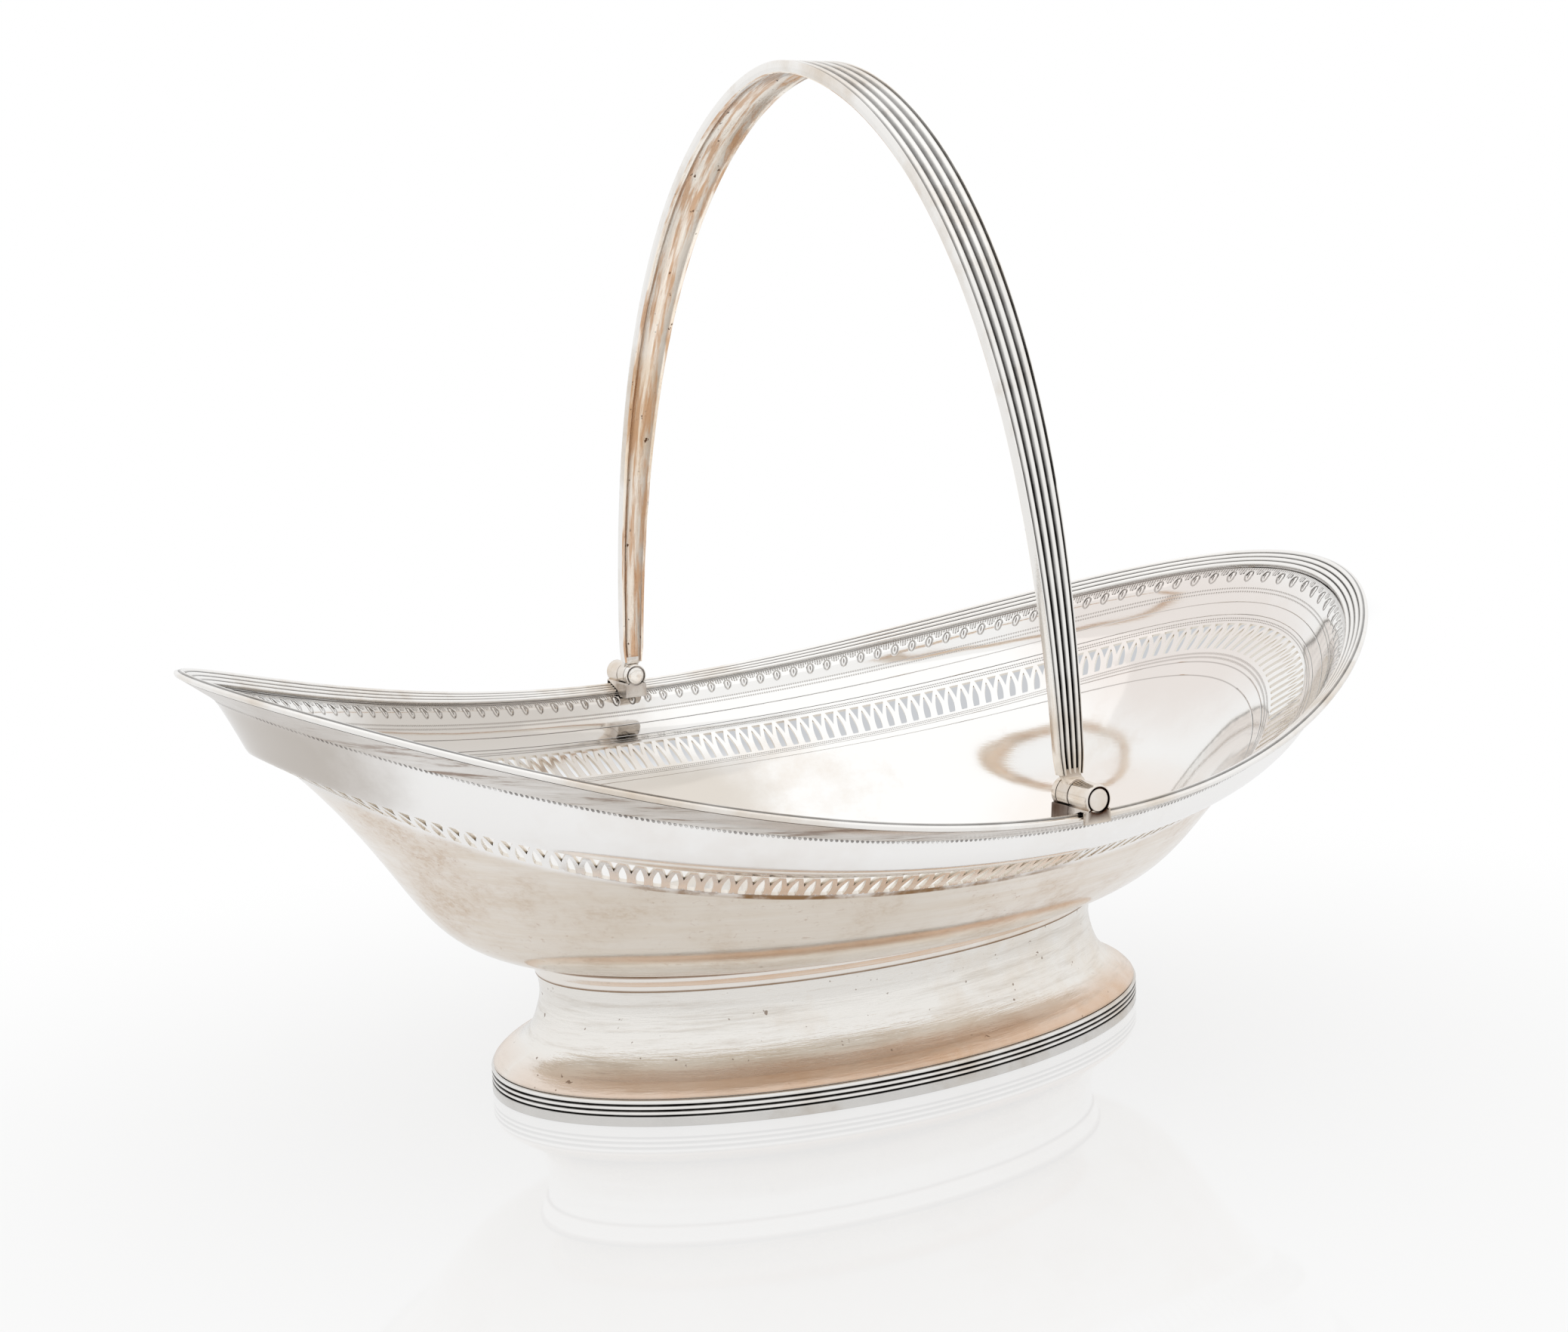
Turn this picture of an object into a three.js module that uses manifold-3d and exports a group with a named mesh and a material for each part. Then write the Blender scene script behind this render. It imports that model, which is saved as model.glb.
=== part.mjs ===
// A boat-shaped silver table basket with a swing handle.
// Millimetres, +Z up, X along the boat. The origin is on the table under the middle of the foot.
import * as THREE from 'three';
import { mergeVertices } from 'three/addons/utils/BufferGeometryUtils.js';
import Module from 'manifold-3d';

const wasm = await Module();
wasm.setup();

// Driving dimensions. Half lengths run along X and half widths along Y.
// A run goes inwards and a drop goes down, at a long side and at a pointed end.
const sheet = 0.9;
const film = 0.3;
const lip = { halfLength: 183.2, halfWidth: 128.2, pinch: 0.14, bend: 0.17 };
const bowlDepthAtSide = 49.5;
const bowlDepthAtEnd = 88.1;
const flare = { sideRun: 7.2, sideDrop: 3.0, endRun: 8.7, endDrop: 6.4, pinch: 0.14, bend: -0.05 };
const bulge = { sideRun: 18.3, sideDrop: 11.6, endRun: 7.3, endDrop: 14.6, pinch: 0.1, bend: -0.3 };
const band = { sideRun: 10.7, sideDrop: 6.9, endRun: 12.5, endDrop: 7.6, pinch: 0.07, bend: -0.45 };
const floorSag = 3.5;

// The middle control points of each zone's profile, as shares of its run and drop.
const bulgeCurve = { side: [[0.05, 0.42], [0.45, 0.85]], end: [[0.4, 0.33], [0.72, 0.66]] };
const bellyCurve = { side: [[0.15, 0.35], [0.5, 0.95]], end: [[0.55, 0.6], [0.46, 0.87]] };

const archCount = 192;
const archesPerBay = 2;
const archesPerPanel = 4;
const lancet = { foot: 2.1, shoulder: 2.3, footMargin: 0.6, shoulderRise: 4.6, apexRise: 9.5 };
const spandrel = { width: 3.0, depth: 5.6, topMargin: 0.6 };
const rimReeds = { count: 3, pitch: 1.8, crest: 1.2, valley: 0.6, bead: 1.6 };

const foot = { halfLength: 104.9, halfWidth: 61.1, height: 38.3 };
const footRing = { height: 7.4, width: 1.9, fillet: 2.9, grooves: 3, grooveDepth: 0.55 };
const shoulder = { inset: 3.4, riseAboveRing: 4.0, skirtRise: 0.7 };
const neck = { inset: 14.7, dropFromTop: 11.0 };
// The middle control points of the foot's cove, as shares of its spread and drop.
const coveCurve = [[0, 0.65], [0.45, 0.75]];
const collar = { height: 5.2, seatInset: 11.6, lipInset: 13.1, lipHeight: 2.4, wall: 2.2, ledge: 0.12 };

const hinge = { riseAboveLip: 5.5, inset: 4.45, radius: 3.8, length: 14.5, innerEar: 1.8, outerEar: 7.6 };
const block = { width: 7.7, rise: 1.5, apron: 0.4, root: 0.95, neckWidth: 6.0, neckDrop: 0.4 };
const pin = { radius: 1.7, headRadius: 3.0, headHeight: 0.8, dome: 0.35, clearance: 0.3 };

const handleRise = 186;
const handleLeg = { offset: 4.45, start: 4.6, lean: 7.9, pull: 145, crown: 33.5 };
const strap = { neckWidth: 5.6, footWidth: 7.2, crownWidth: 16.5, thickness: 3.4 };
const strapReeds = { count: 5, grooveDepth: 0.8, flange: 1.3, hollow: 1.5 };

// How finely curves are divided.
const panels = archCount / archesPerPanel;
const footPanels = 36;
const coveSteps = 2;
const bowStations = 10;
const barrelSides = 12;
const arcSteps = 720;

const circle = 2 * Math.PI;
const quarterTurn = circle / 4;
const blend = (from, to, w) => from + (to - from) * w;
const steps = (count, offset = 0) => Array.from({ length: count }, (_, k) => k + offset);
const silver = (color, roughness) => new THREE.MeshStandardMaterial({ color, roughness, metalness: 1 });

// A closed surface built ring by ring. Rings run anticlockwise seen from above, and each keeps its
// angles, so rings with different numbers of points can be stitched together.
class Skin {
  constructor() {
    this.points = [];
    this.faces = [];
  }

  point(p) {
    return this.points.push(p) - 1;
  }

  ring(angles, place) {
    return angles.map((angle) => ({ angle, index: this.point(place(angle)) }));
  }

  stitch(from, to) {
    const at = (loop, k) => loop[k % loop.length];
    const turn = (loop, k) => at(loop, k).angle + circle * Math.floor(k / loop.length);
    let i = 0;
    let j = 0;
    while (i < from.length || j < to.length) {
      const a = at(from, i).index;
      const b = at(to, j).index;
      const advanceFrom = j >= to.length || (i < from.length && turn(from, i + 1) <= turn(to, j + 1));
      if (advanceFrom) {
        this.faces.push([a, b, at(from, i + 1).index]);
        i += 1;
      } else {
        this.faces.push([a, b, at(to, j + 1).index]);
        j += 1;
      }
    }
  }

  sequence(rings) {
    rings.slice(1).forEach((ring, k) => this.stitch(rings[k], ring));
  }

  pole(p, loop, upward) {
    const centre = this.point(p);
    loop.forEach((item, k) => {
      const next = loop[(k + 1) % loop.length].index;
      this.faces.push(upward ? [centre, item.index, next] : [next, item.index, centre]);
    });
  }

  geometry() {
    const geometry = new THREE.BufferGeometry();
    const places = this.points.flatMap((p) => p.toArray());
    geometry.setAttribute('position', new THREE.Float32BufferAttribute(places, 3));
    geometry.setIndex(this.faces.flat());
    geometry.computeVertexNormals();
    return geometry;
  }
}

// A ring-shaped solid: the section is a closed list of functions of the angle.
function hoop(angles, section) {
  const skin = new Skin();
  const rings = section.map((place) => skin.ring(angles, place));
  skin.sequence([...rings, rings[0]]);
  return skin.geometry();
}

// The bowl's outer surface is a pile of levels, from the lip down to the middle of the floor.
const lipLevel = {
  a: lip.halfLength,
  b: lip.halfWidth,
  side: foot.height + bowlDepthAtSide,
  end: foot.height + bowlDepthAtEnd,
  pinch: lip.pinch,
  bend: lip.bend,
};

const flat = (a, b, height) => ({ a, b, side: height, end: height, pinch: 0, bend: 0 });

function below(level, zone) {
  return {
    a: level.a - zone.endRun,
    b: level.b - zone.sideRun,
    side: level.side - zone.sideDrop,
    end: level.end - zone.endDrop,
    pinch: zone.pinch,
    bend: zone.bend,
  };
}

const flareLevel = below(lipLevel, flare);
const bandTop = below(flareLevel, bulge);
const bandFoot = below(bandTop, band);
const seat = flat(foot.halfLength - collar.seatInset, foot.halfWidth - collar.seatInset, foot.height);
const floorMiddle = flat(0, 0, foot.height - floorSag);
const levels = [lipLevel, flareLevel, bandTop, bandFoot, seat, floorMiddle];

// Depths count levels: 2 and 3 are the edges of the pierced band, 4 is the seat on the foot.
const bandTopDepth = 2;
const bandFootDepth = 3;
const seatDepth = 4;
const midFloorDepth = 4.5;
const middleDepth = 5;

function profile(controls) {
  const [first, second] = controls.map(([run, drop]) => new THREE.Vector2(run, drop));
  return new THREE.CubicBezierCurve(new THREE.Vector2(0, 0), first, second, new THREE.Vector2(1, 1));
}

const straight = profile([[1 / 3, 1 / 3], [2 / 3, 2 / 3]]);
const dished = profile([[1 / 3, 2 / 3], [2 / 3, 1]]);
const zones = [
  { side: straight, end: straight },
  { side: profile(bulgeCurve.side), end: profile(bulgeCurve.end) },
  { side: straight, end: straight },
  { side: profile(bellyCurve.side), end: profile(bellyCurve.end) },
  { side: dished, end: dished },
];

function levelAt(depth) {
  const zone = THREE.MathUtils.clamp(Math.floor(depth), 0, zones.length - 1);
  const w = depth - zone;
  const side = zones[zone].side.getPoint(w);
  const end = zones[zone].end.getPoint(w);
  const top = levels[zone];
  const bottom = levels[zone + 1];
  return {
    a: blend(top.a, bottom.a, end.x),
    b: blend(top.b, bottom.b, side.x),
    side: blend(top.side, bottom.side, side.y),
    end: blend(top.end, bottom.end, end.y),
    pinch: blend(top.pinch, bottom.pinch, w),
    bend: blend(top.bend, bottom.bend, w),
  };
}

// A level is an ellipse drawn in towards its pointed ends and lifted there by the square of the cosine.
function onBowl(angle, depth) {
  const level = levelAt(depth);
  const c = Math.cos(angle);
  const s = Math.sin(angle);
  const lift = c * c * (1 + level.bend * (1 - c * c));
  return new THREE.Vector3(
    level.a * c,
    level.b * s * (1 - level.pinch * c * c),
    blend(level.side, level.end, lift),
  );
}

// The point moved inwards from the outer surface, square to it.
function inBowl(angle, depth, inward) {
  const small = 0.004;
  const around = onBowl(angle + small, depth).sub(onBowl(angle - small, depth));
  const down = onBowl(angle, depth + small).sub(onBowl(angle, depth - small));
  return onBowl(angle, depth).addScaledVector(around.cross(down).normalize(), inward);
}

// Lengths along a quarter of the band, from the pointed end to the long side.
const bandLengths = steps(arcSteps / 4).reduce((lengths, k) => {
  const middle = (bandTopDepth + bandFootDepth) / 2;
  const from = onBowl((k / arcSteps) * circle, middle);
  const to = onBowl(((k + 1) / arcSteps) * circle, middle);
  return [...lengths, lengths[k] + from.distanceTo(to)];
}, [0]);
const bandQuarter = bandLengths[bandLengths.length - 1];
const archPitch = (4 * bandQuarter) / archCount;

// The angle of an arch's place, so that all the arches are equally wide along the band.
function archAngle(step) {
  const turns = (4 * step) / archCount;
  const quadrant = Math.floor(turns);
  const mirroredQuadrant = quadrant % 2 !== 0;
  const share = turns - quadrant;
  const target = (mirroredQuadrant ? 1 - share : share) * bandQuarter;
  const k = bandLengths.findIndex((length) => length >= target);
  const within = k > 0 ? (target - bandLengths[k - 1]) / (bandLengths[k] - bandLengths[k - 1]) : 1;
  const inQuarter = ((k - 1 + within) / arcSteps) * circle;
  return mirroredQuadrant ? (quadrant + 1) * quarterTurn - inQuarter : quadrant * quarterTurn + inQuarter;
}

const panelAngles = steps(panels).map((k) => archAngle(k * archesPerPanel));

// One bay of the pierced band, laid flat: a slanted frame that passes between an arch and the
// spandrel beside it, with arch-headed lancets and the triangles between them as its openings.
// It is divided in a slightly bowed form, so that no two openings have an edge on one line.
function archBay() {
  const height = Math.hypot(band.sideRun, band.sideDrop);
  const half = archPitch / 2;
  const width = archPitch * archesPerBay;
  const frame = [[0, 0], [width, 0], [width + half, height], [half, height]];
  const shoulderUp = lancet.footMargin + lancet.shoulderRise;
  const openings = steps(archesPerBay).flatMap((k) => {
    const middle = (k + 0.5) * archPitch;
    const column = (k + 1) * archPitch;
    return [
      [
        [middle - lancet.foot / 2, lancet.footMargin],
        [middle + lancet.foot / 2, lancet.footMargin],
        [middle + lancet.shoulder / 2, shoulderUp],
        [middle, lancet.footMargin + lancet.apexRise],
        [middle - lancet.shoulder / 2, shoulderUp],
      ],
      [
        [column, height - spandrel.topMargin - spandrel.depth],
        [column + spandrel.width / 2, height - spandrel.topMargin],
        [column - spandrel.width / 2, height - spandrel.topMargin],
      ],
    ];
  });
  const bow = 0.002;
  const bowed = (loop) => loop.map(([x, y]) => new THREE.Vector2(x, y + bow * x * x));
  const outline = bowed(frame);
  const holes = openings.map(bowed);
  const corners = [outline, ...holes].flat();
  const anticlockwise = ([i, j, k]) => !THREE.ShapeUtils.isClockWise([corners[i], corners[j], corners[k]]);
  const faces = THREE.ShapeUtils.triangulateShape(outline, holes)
    .map((face) => (anticlockwise(face) ? face : [...face].reverse()));
  return { openings, height, faces };
}

// A corner of a bay laid on the bowl: across runs along the band and up from its foot.
function bandPlace(bay, number, [across, up], inward) {
  const depth = blend(bandFootDepth, bandTopDepth, up / bay.height);
  return inBowl(archAngle(number * archesPerBay + across / archPitch), depth, inward);
}

// Lays all the bays between two rings and returns the loops of their openings.
function pierceBand(skin, bay, topLoop, footLoop, inward, faceOut) {
  return footLoop.map((_, n) => {
    const next = (n + 1) % footLoop.length;
    const frame = [footLoop[n], footLoop[next], topLoop[next], topLoop[n]].map((item) => item.index);
    const place = (corner) => skin.point(bandPlace(bay, n, corner, inward));
    const loops = bay.openings.map((loop) => loop.map(place));
    const corners = [...frame, ...loops.flat()];
    bay.faces.forEach(([i, j, k]) => {
      skin.faces.push(faceOut ? [corners[i], corners[j], corners[k]] : [corners[i], corners[k], corners[j]]);
    });
    return loops;
  });
}

// The cut edges of the openings, between the outer face and the inner one.
function wallOpenings(skin, outer, inner) {
  outer.flat().forEach((loop, n) => {
    const back = inner.flat()[n];
    loop.forEach((corner, k) => {
      const next = (k + 1) % loop.length;
      skin.faces.push([corner, loop[next], back[next]], [corner, back[next], back[k]]);
    });
  });
}

function makeBowl() {
  const skin = new Skin();
  const bay = archBay();
  const bays = steps(archCount / archesPerBay);
  const bayAngles = (shift) => bays.map((k) => archAngle(k * archesPerBay + shift));
  const ringAt = (angles, depth, inward) => skin.ring(angles, (angle) => inBowl(angle, depth, inward));
  const face = (inward) => ({
    above: [0, 1, 1.5].map((depth) => ringAt(panelAngles, depth, inward)),
    bandTop: ringAt(bayAngles(0.5), bandTopDepth, inward),
    bandFoot: ringAt(bayAngles(0), bandFootDepth, inward),
    under: [3.25, 3.6, seatDepth, midFloorDepth].map((depth) => ringAt(panelAngles, depth, inward)),
  });
  const outer = face(0);
  const inner = face(sheet);
  const middle = onBowl(0, middleDepth);
  skin.pole(middle.clone().setZ(middle.z + sheet), inner.under[inner.under.length - 1], true);
  skin.sequence([...[...inner.under].reverse(), inner.bandFoot]);
  skin.sequence([inner.bandTop, ...[...inner.above].reverse(), ...outer.above, outer.bandTop]);
  skin.sequence([outer.bandFoot, ...outer.under]);
  skin.pole(middle, outer.under[outer.under.length - 1], false);
  wallOpenings(
    skin,
    pierceBand(skin, bay, outer.bandTop, outer.bandFoot, 0, true),
    pierceBand(skin, bay, inner.bandTop, inner.bandFoot, sheet, false),
  );
  return skin.geometry();
}

// Reeded wire soldered on the flare and wrapped round the lip. Each corner is measured down the
// flare from the lip and up from the sheet's inner face.
function makeRimMoulding() {
  const flareLength = (angle) => onBowl(angle, 0).distanceTo(onBowl(angle, 1));
  const at = (along, up) => (angle) => inBowl(angle, along / flareLength(angle), sheet + up);
  const reeds = steps(rimReeds.count).flatMap((k) => [
    at(k * rimReeds.pitch, rimReeds.valley),
    at((k + 0.5) * rimReeds.pitch, rimReeds.crest),
  ]);
  return hoop(panelAngles, [
    at(rimReeds.count * rimReeds.pitch, film),
    at(rimReeds.count * rimReeds.pitch, rimReeds.valley),
    ...reeds.reverse(),
    at(-rimReeds.bead / 2, rimReeds.crest),
    at(-rimReeds.bead, 0),
    at(-rimReeds.bead, -sheet),
    at(-film, -sheet),
    at(-film, film),
  ]);
}

// The foot's levels are ovals drawn in from the foot ring by an inset.
const footAngles = steps(footPanels).map((k) => (k / footPanels) * circle);
const footPlace = ([inset, height]) => (angle) => new THREE.Vector3(
  (foot.halfLength - inset) * Math.cos(angle),
  (foot.halfWidth - inset) * Math.sin(angle),
  height,
);
const collarBase = foot.height - collar.height;

// The collar's top lies under the facets that the bowl has there, from the seat inwards.
function makeCollar() {
  const underFloor = (share) => (angle) => onBowl(angle, seatDepth)
    .lerp(onBowl(angle, midFloorDepth), share)
    .add(new THREE.Vector3(0, 0, -film));
  return hoop(panelAngles, [
    underFloor(collar.ledge),
    underFloor(0),
    footPlace([collar.lipInset, collarBase + collar.lipHeight]),
    footPlace([neck.inset - sheet, collarBase]),
    footPlace([neck.inset - sheet + collar.wall, collarBase]),
  ]);
}

// A hollow spreading foot: a cove from the neck down to the shoulder, then a rounded skirt.
function makePedestal() {
  const neckHeight = foot.height - neck.dropFromTop;
  const shoulderHeight = footRing.height + shoulder.riseAboveRing;
  const walk = profile(coveCurve).getPoints(coveSteps).map(({ x, y }) => [
    blend(neck.inset, shoulder.inset, x),
    blend(neckHeight, shoulderHeight, y),
  ]);
  const ringTop = footRing.height + film;
  const inside = footRing.width + film;
  const outer = [
    [neck.inset - sheet, collarBase - film],
    ...walk,
    [shoulder.inset / 2, blend(ringTop, shoulderHeight, shoulder.skirtRise)],
    [footRing.grooveDepth, ringTop],
    [inside, ringTop],
    [inside, film],
  ];
  const inner = [
    [inside + sheet, film],
    [shoulder.inset + sheet, ringTop],
    ...[...walk].reverse().slice(1).map(([inset, height]) => [inset + sheet, height - sheet]),
    [neck.inset + sheet / 2, collarBase - film],
  ];
  return hoop(footAngles, [...outer, ...inner].map(footPlace));
}

// The ring that the foot stands on: a plain fillet below and a stack of reeds above.
function makeFootRing() {
  const reed = (footRing.height - footRing.fillet) / footRing.grooves;
  const reeds = steps(footRing.grooves).flatMap((k) => {
    const low = footRing.fillet + k * reed;
    return [[footRing.grooveDepth, low], [0, low + reed / 2]];
  });
  const outer = [[0, 0], [0, footRing.fillet - reed / 4], ...reeds, [footRing.grooveDepth, footRing.height]];
  const inner = [[footRing.width, 0], [footRing.width, footRing.height]];
  return hoop(footAngles, [...outer.reverse(), ...inner].map(footPlace));
}

// Hinge sizes that follow from the rim. Each hinge is drawn for the +Y side and mirrored.
const hingeHeight = lipLevel.side + hinge.riseAboveLip;
const hingeMiddle = lip.halfWidth - hinge.inset;
const barrelOuter = hingeMiddle + hinge.length / 2;
const barrelInner = hingeMiddle - hinge.length / 2;
const knuckleOuter = barrelOuter - hinge.outerEar - film;
const knuckleInner = barrelInner + hinge.innerEar + film;

function toSolid(geometry) {
  const bare = new THREE.BufferGeometry();
  bare.setAttribute('position', geometry.attributes.position);
  bare.setIndex(geometry.index);
  const merged = mergeVertices(bare);
  return new wasm.Manifold(new wasm.Mesh({
    numProp: 3,
    vertProperties: Float32Array.from(merged.attributes.position.array),
    triVerts: Uint32Array.from(merged.index.array),
  }));
}

function fromSolid(solid) {
  const mesh = solid.getMesh();
  const geometry = new THREE.BufferGeometry();
  geometry.setAttribute('position', new THREE.BufferAttribute(Float32Array.from(mesh.vertProperties), 3));
  geometry.setIndex(Array.from(mesh.triVerts));
  geometry.computeVertexNormals();
  return geometry;
}

// A round bar on the hinge line, between two places along Y, straight or tapering to another radius.
// A turned one has its corners where others have the middles of their sides.
function bar(radius, from, to, { endRadius = radius, turned = false } = {}) {
  const geometry = new THREE.CylinderGeometry(endRadius, radius, to - from, barrelSides);
  geometry.rotateY(turned ? circle / barrelSides / 2 : 0);
  geometry.translate(0, (from + to) / 2, hingeHeight);
  return toSolid(geometry);
}

function cuboid(width, from, to, low, high) {
  const geometry = new THREE.BoxGeometry(width, to - from, high - low);
  geometry.translate(0, (from + to) / 2, (low + high) / 2);
  return toSolid(geometry);
}

// A profile in Y and Z, carried along X by its width.
function slab(width, corners) {
  const shape = new THREE.Shape(corners.map(([y, z]) => new THREE.Vector2(y, z)));
  const geometry = new THREE.ExtrudeGeometry(shape, { depth: width, bevelEnabled: false });
  geometry.translate(0, 0, -width / 2);
  geometry.applyMatrix4(new THREE.Matrix4().set(0, 0, 1, 0, 1, 0, 0, 0, 0, 1, 0, 0, 0, 0, 0, 1));
  return toSolid(geometry);
}

// A block that follows the flare and the reeds, with an apron down over the rim's bead and two ears
// round the pin.
function makeBracket() {
  const flareLength = Math.hypot(flare.sideRun, flare.sideDrop);
  const onRim = (along, up) => inBowl(quarterTurn, along / flareLength, sheet + up);
  const reedsEnd = rimReeds.count * rimReeds.pitch + film;
  const root = onRim(block.root * flareLength, film);
  const behindReeds = onRim(reedsEnd, film);
  const overReeds = onRim(reedsEnd, rimReeds.crest + film);
  const overBead = onRim(-rimReeds.bead, rimReeds.crest + film);
  const beadEdge = onRim(-rimReeds.bead, -sheet).y + film;
  const apronFoot = lipLevel.side - block.apron;
  const top = hingeHeight - hinge.radius + block.rise;
  const neckLow = top - block.rise / 2;
  const neckHigh = hingeHeight - hinge.radius * block.neckDrop;
  const recess = pin.headHeight + film;
  const past = 1;
  const alongRim = [root, behindReeds, overReeds, overBead].map((p) => [p.y, p.z]);
  const rimSpace = [
    ...[...alongRim].reverse(),
    [root.y, root.z - past],
    [beadEdge, root.z - past],
    [beadEdge, overBead.z],
  ];
  return fromSolid(slab(block.width, [
    [barrelInner, top],
    [barrelInner, root.z],
    ...alongRim,
    [beadEdge, overBead.z],
    [beadEdge, apronFoot],
    [barrelOuter, apronFoot],
    [barrelOuter, top],
  ])
    .add(bar(hinge.radius, barrelInner, barrelInner + hinge.innerEar))
    .add(bar(hinge.radius, barrelOuter - hinge.outerEar, barrelOuter))
    .add(cuboid(block.neckWidth, barrelInner, barrelInner + hinge.innerEar, neckLow, neckHigh))
    .add(cuboid(block.neckWidth, barrelOuter - hinge.outerEar, barrelOuter, neckLow, neckHigh))
    .subtract(slab(2 * block.width, rimSpace))
    .subtract(bar(hinge.radius + 2 * film, knuckleInner - film, knuckleOuter + film))
    .subtract(bar(pin.radius + pin.clearance, barrelInner - past, barrelOuter + past, { turned: true }))
    .subtract(bar(pin.headRadius + film, barrelInner - past, barrelInner + recess))
    .subtract(bar(pin.headRadius + film, barrelOuter - recess, barrelOuter + past)));
}

// The pin is a shank with a domed head let into each ear.
function makePin() {
  const { radius, headRadius, headHeight, dome } = pin;
  const crown = radius;
  return fromSolid(bar(radius, barrelInner + dome, barrelOuter - dome, { turned: true })
    .add(bar(headRadius, barrelOuter - headHeight, barrelOuter - dome))
    .add(bar(headRadius, barrelOuter - dome, barrelOuter, { endRadius: crown }))
    .add(bar(headRadius, barrelInner + dome, barrelInner + headHeight))
    .add(bar(crown, barrelInner, barrelInner + dome, { endRadius: headRadius })));
}

const legFoot = new THREE.Vector3(0, hingeMiddle - handleLeg.offset, hingeHeight + handleLeg.start);

// A barrel round the pin, with a short neck up to the foot of the handle's strap.
function makeKnuckle() {
  const strapOuter = legFoot.y + strap.thickness / 2;
  return fromSolid(bar(hinge.radius, knuckleInner, knuckleOuter)
    .add(cuboid(strap.neckWidth, knuckleInner, strapOuter, hingeHeight, legFoot.z - film))
    .subtract(bar(pin.radius + pin.clearance, barrelInner, barrelOuter, { turned: true })));
}

// The bow springs from the knuckle on the +Y side, climbs with a slight inward lean and crosses over.
function bowCurve() {
  const apexHeight = hingeHeight + handleRise;
  return new THREE.CubicBezierCurve3(
    legFoot,
    legFoot.clone().add(new THREE.Vector3(0, -handleLeg.lean, handleLeg.pull)),
    new THREE.Vector3(0, handleLeg.crown, apexHeight),
    new THREE.Vector3(0, 0, apexHeight),
  );
}

// The strap's section, across by depth below its outer face: reeds outside and, inside, a hollow
// between two flanges.
function strapSection(halfWidth) {
  const reed = (2 * halfWidth) / strapReeds.count;
  const outside = steps(strapReeds.count).flatMap((k) => {
    const left = -halfWidth + k * reed;
    return [[left, strapReeds.grooveDepth], [left + reed / 4, 0], [left + (reed * 3) / 4, 0]];
  });
  const rim = halfWidth - strapReeds.flange;
  const bed = rim / 2;
  return [
    ...outside,
    [halfWidth, strapReeds.grooveDepth],
    [halfWidth, strap.thickness],
    [rim, strap.thickness],
    [bed, strap.thickness - strapReeds.hollow],
    [-bed, strap.thickness - strapReeds.hollow],
    [-rim, strap.thickness],
    [-halfWidth, strap.thickness],
  ];
}

function makeBow() {
  const curve = bowCurve();
  const skin = new Skin();
  const station = (share) => {
    const nearSide = share > 1;
    const along = nearSide ? 2 - share : share;
    const centre = curve.getPointAt(along);
    const tangent = curve.getTangentAt(along);
    const out = new THREE.Vector3(0, tangent.z, -tangent.y);
    const section = strapSection(blend(strap.footWidth, strap.crownWidth, along) / 2);
    return section.map(([x, depth], k) => {
      const p = centre.clone().addScaledVector(out, strap.thickness / 2 - depth);
      const index = skin.point(new THREE.Vector3(x, nearSide ? -p.y : p.y, p.z));
      return { angle: (k / section.length) * circle, index };
    });
  };
  const stations = steps(2 * bowStations + 1).map((k) => station(k / bowStations));
  skin.sequence(stations);
  capBow(skin, stations[0]);
  capBow(skin, stations[stations.length - 1]);
  return skin.geometry();
}

// Closes an end of the strap flat, facing down.
function capBow(skin, loop) {
  const outline = loop.map(({ index }) => new THREE.Vector2(skin.points[index].x, skin.points[index].y));
  THREE.ShapeUtils.triangulateShape(outline, []).forEach((face) => {
    const fromAbove = THREE.ShapeUtils.isClockWise(face.map((n) => outline[n]));
    const ordered = fromAbove ? face : [...face].reverse();
    skin.faces.push(ordered.map((n) => loop[n].index));
  });
}

// The same piece on the opposite side, with its faces turned to point outwards again.
function mirrored(geometry) {
  const copy = geometry.clone();
  copy.scale(1, -1, 1);
  const index = Array.from(copy.index.array);
  copy.setIndex(index.map((_, k) => index[k - (k % 3) + [0, 2, 1][k % 3]]));
  copy.computeVertexNormals();
  return copy;
}

const polished = silver(0xd8d4cd, 0.18);
const reeded = silver(0xc9c4bb, 0.28);
const tarnished = silver(0xb9a88f, 0.35);

const basket = new THREE.Group();

function put(name, geometry, material) {
  const mesh = new THREE.Mesh(geometry, material.clone());
  mesh.name = name;
  basket.add(mesh);
}

function putPair(name, geometry, material) {
  put(`${name}_far`, geometry, material);
  put(`${name}_near`, mirrored(geometry), material);
}

put('bowl', makeBowl(), polished);
put('rim_moulding', makeRimMoulding(), reeded);
put('foot_collar', makeCollar(), polished);
put('foot_pedestal', makePedestal(), tarnished);
put('foot_base_moulding', makeFootRing(), reeded);
put('handle_bow', makeBow(), reeded);
putPair('hinge_bracket', makeBracket(), tarnished);
putPair('handle_knuckle', makeKnuckle(), polished);
putPair('hinge_pin', makePin(), polished);

export default basket;
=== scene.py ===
"""A boat-shaped silver basket with a swing handle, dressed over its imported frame.

Sizes are millimetres until a surface goes into a mesh, which is in metres. X runs along the boat,
Y across it towards the far hinge, Z up. The near hinge is the one on the -Y side.
"""
import math

import bpy
import numpy as np
from mathutils import Matrix, Vector
from mathutils.geometry import delaunay_2d_cdt


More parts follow.
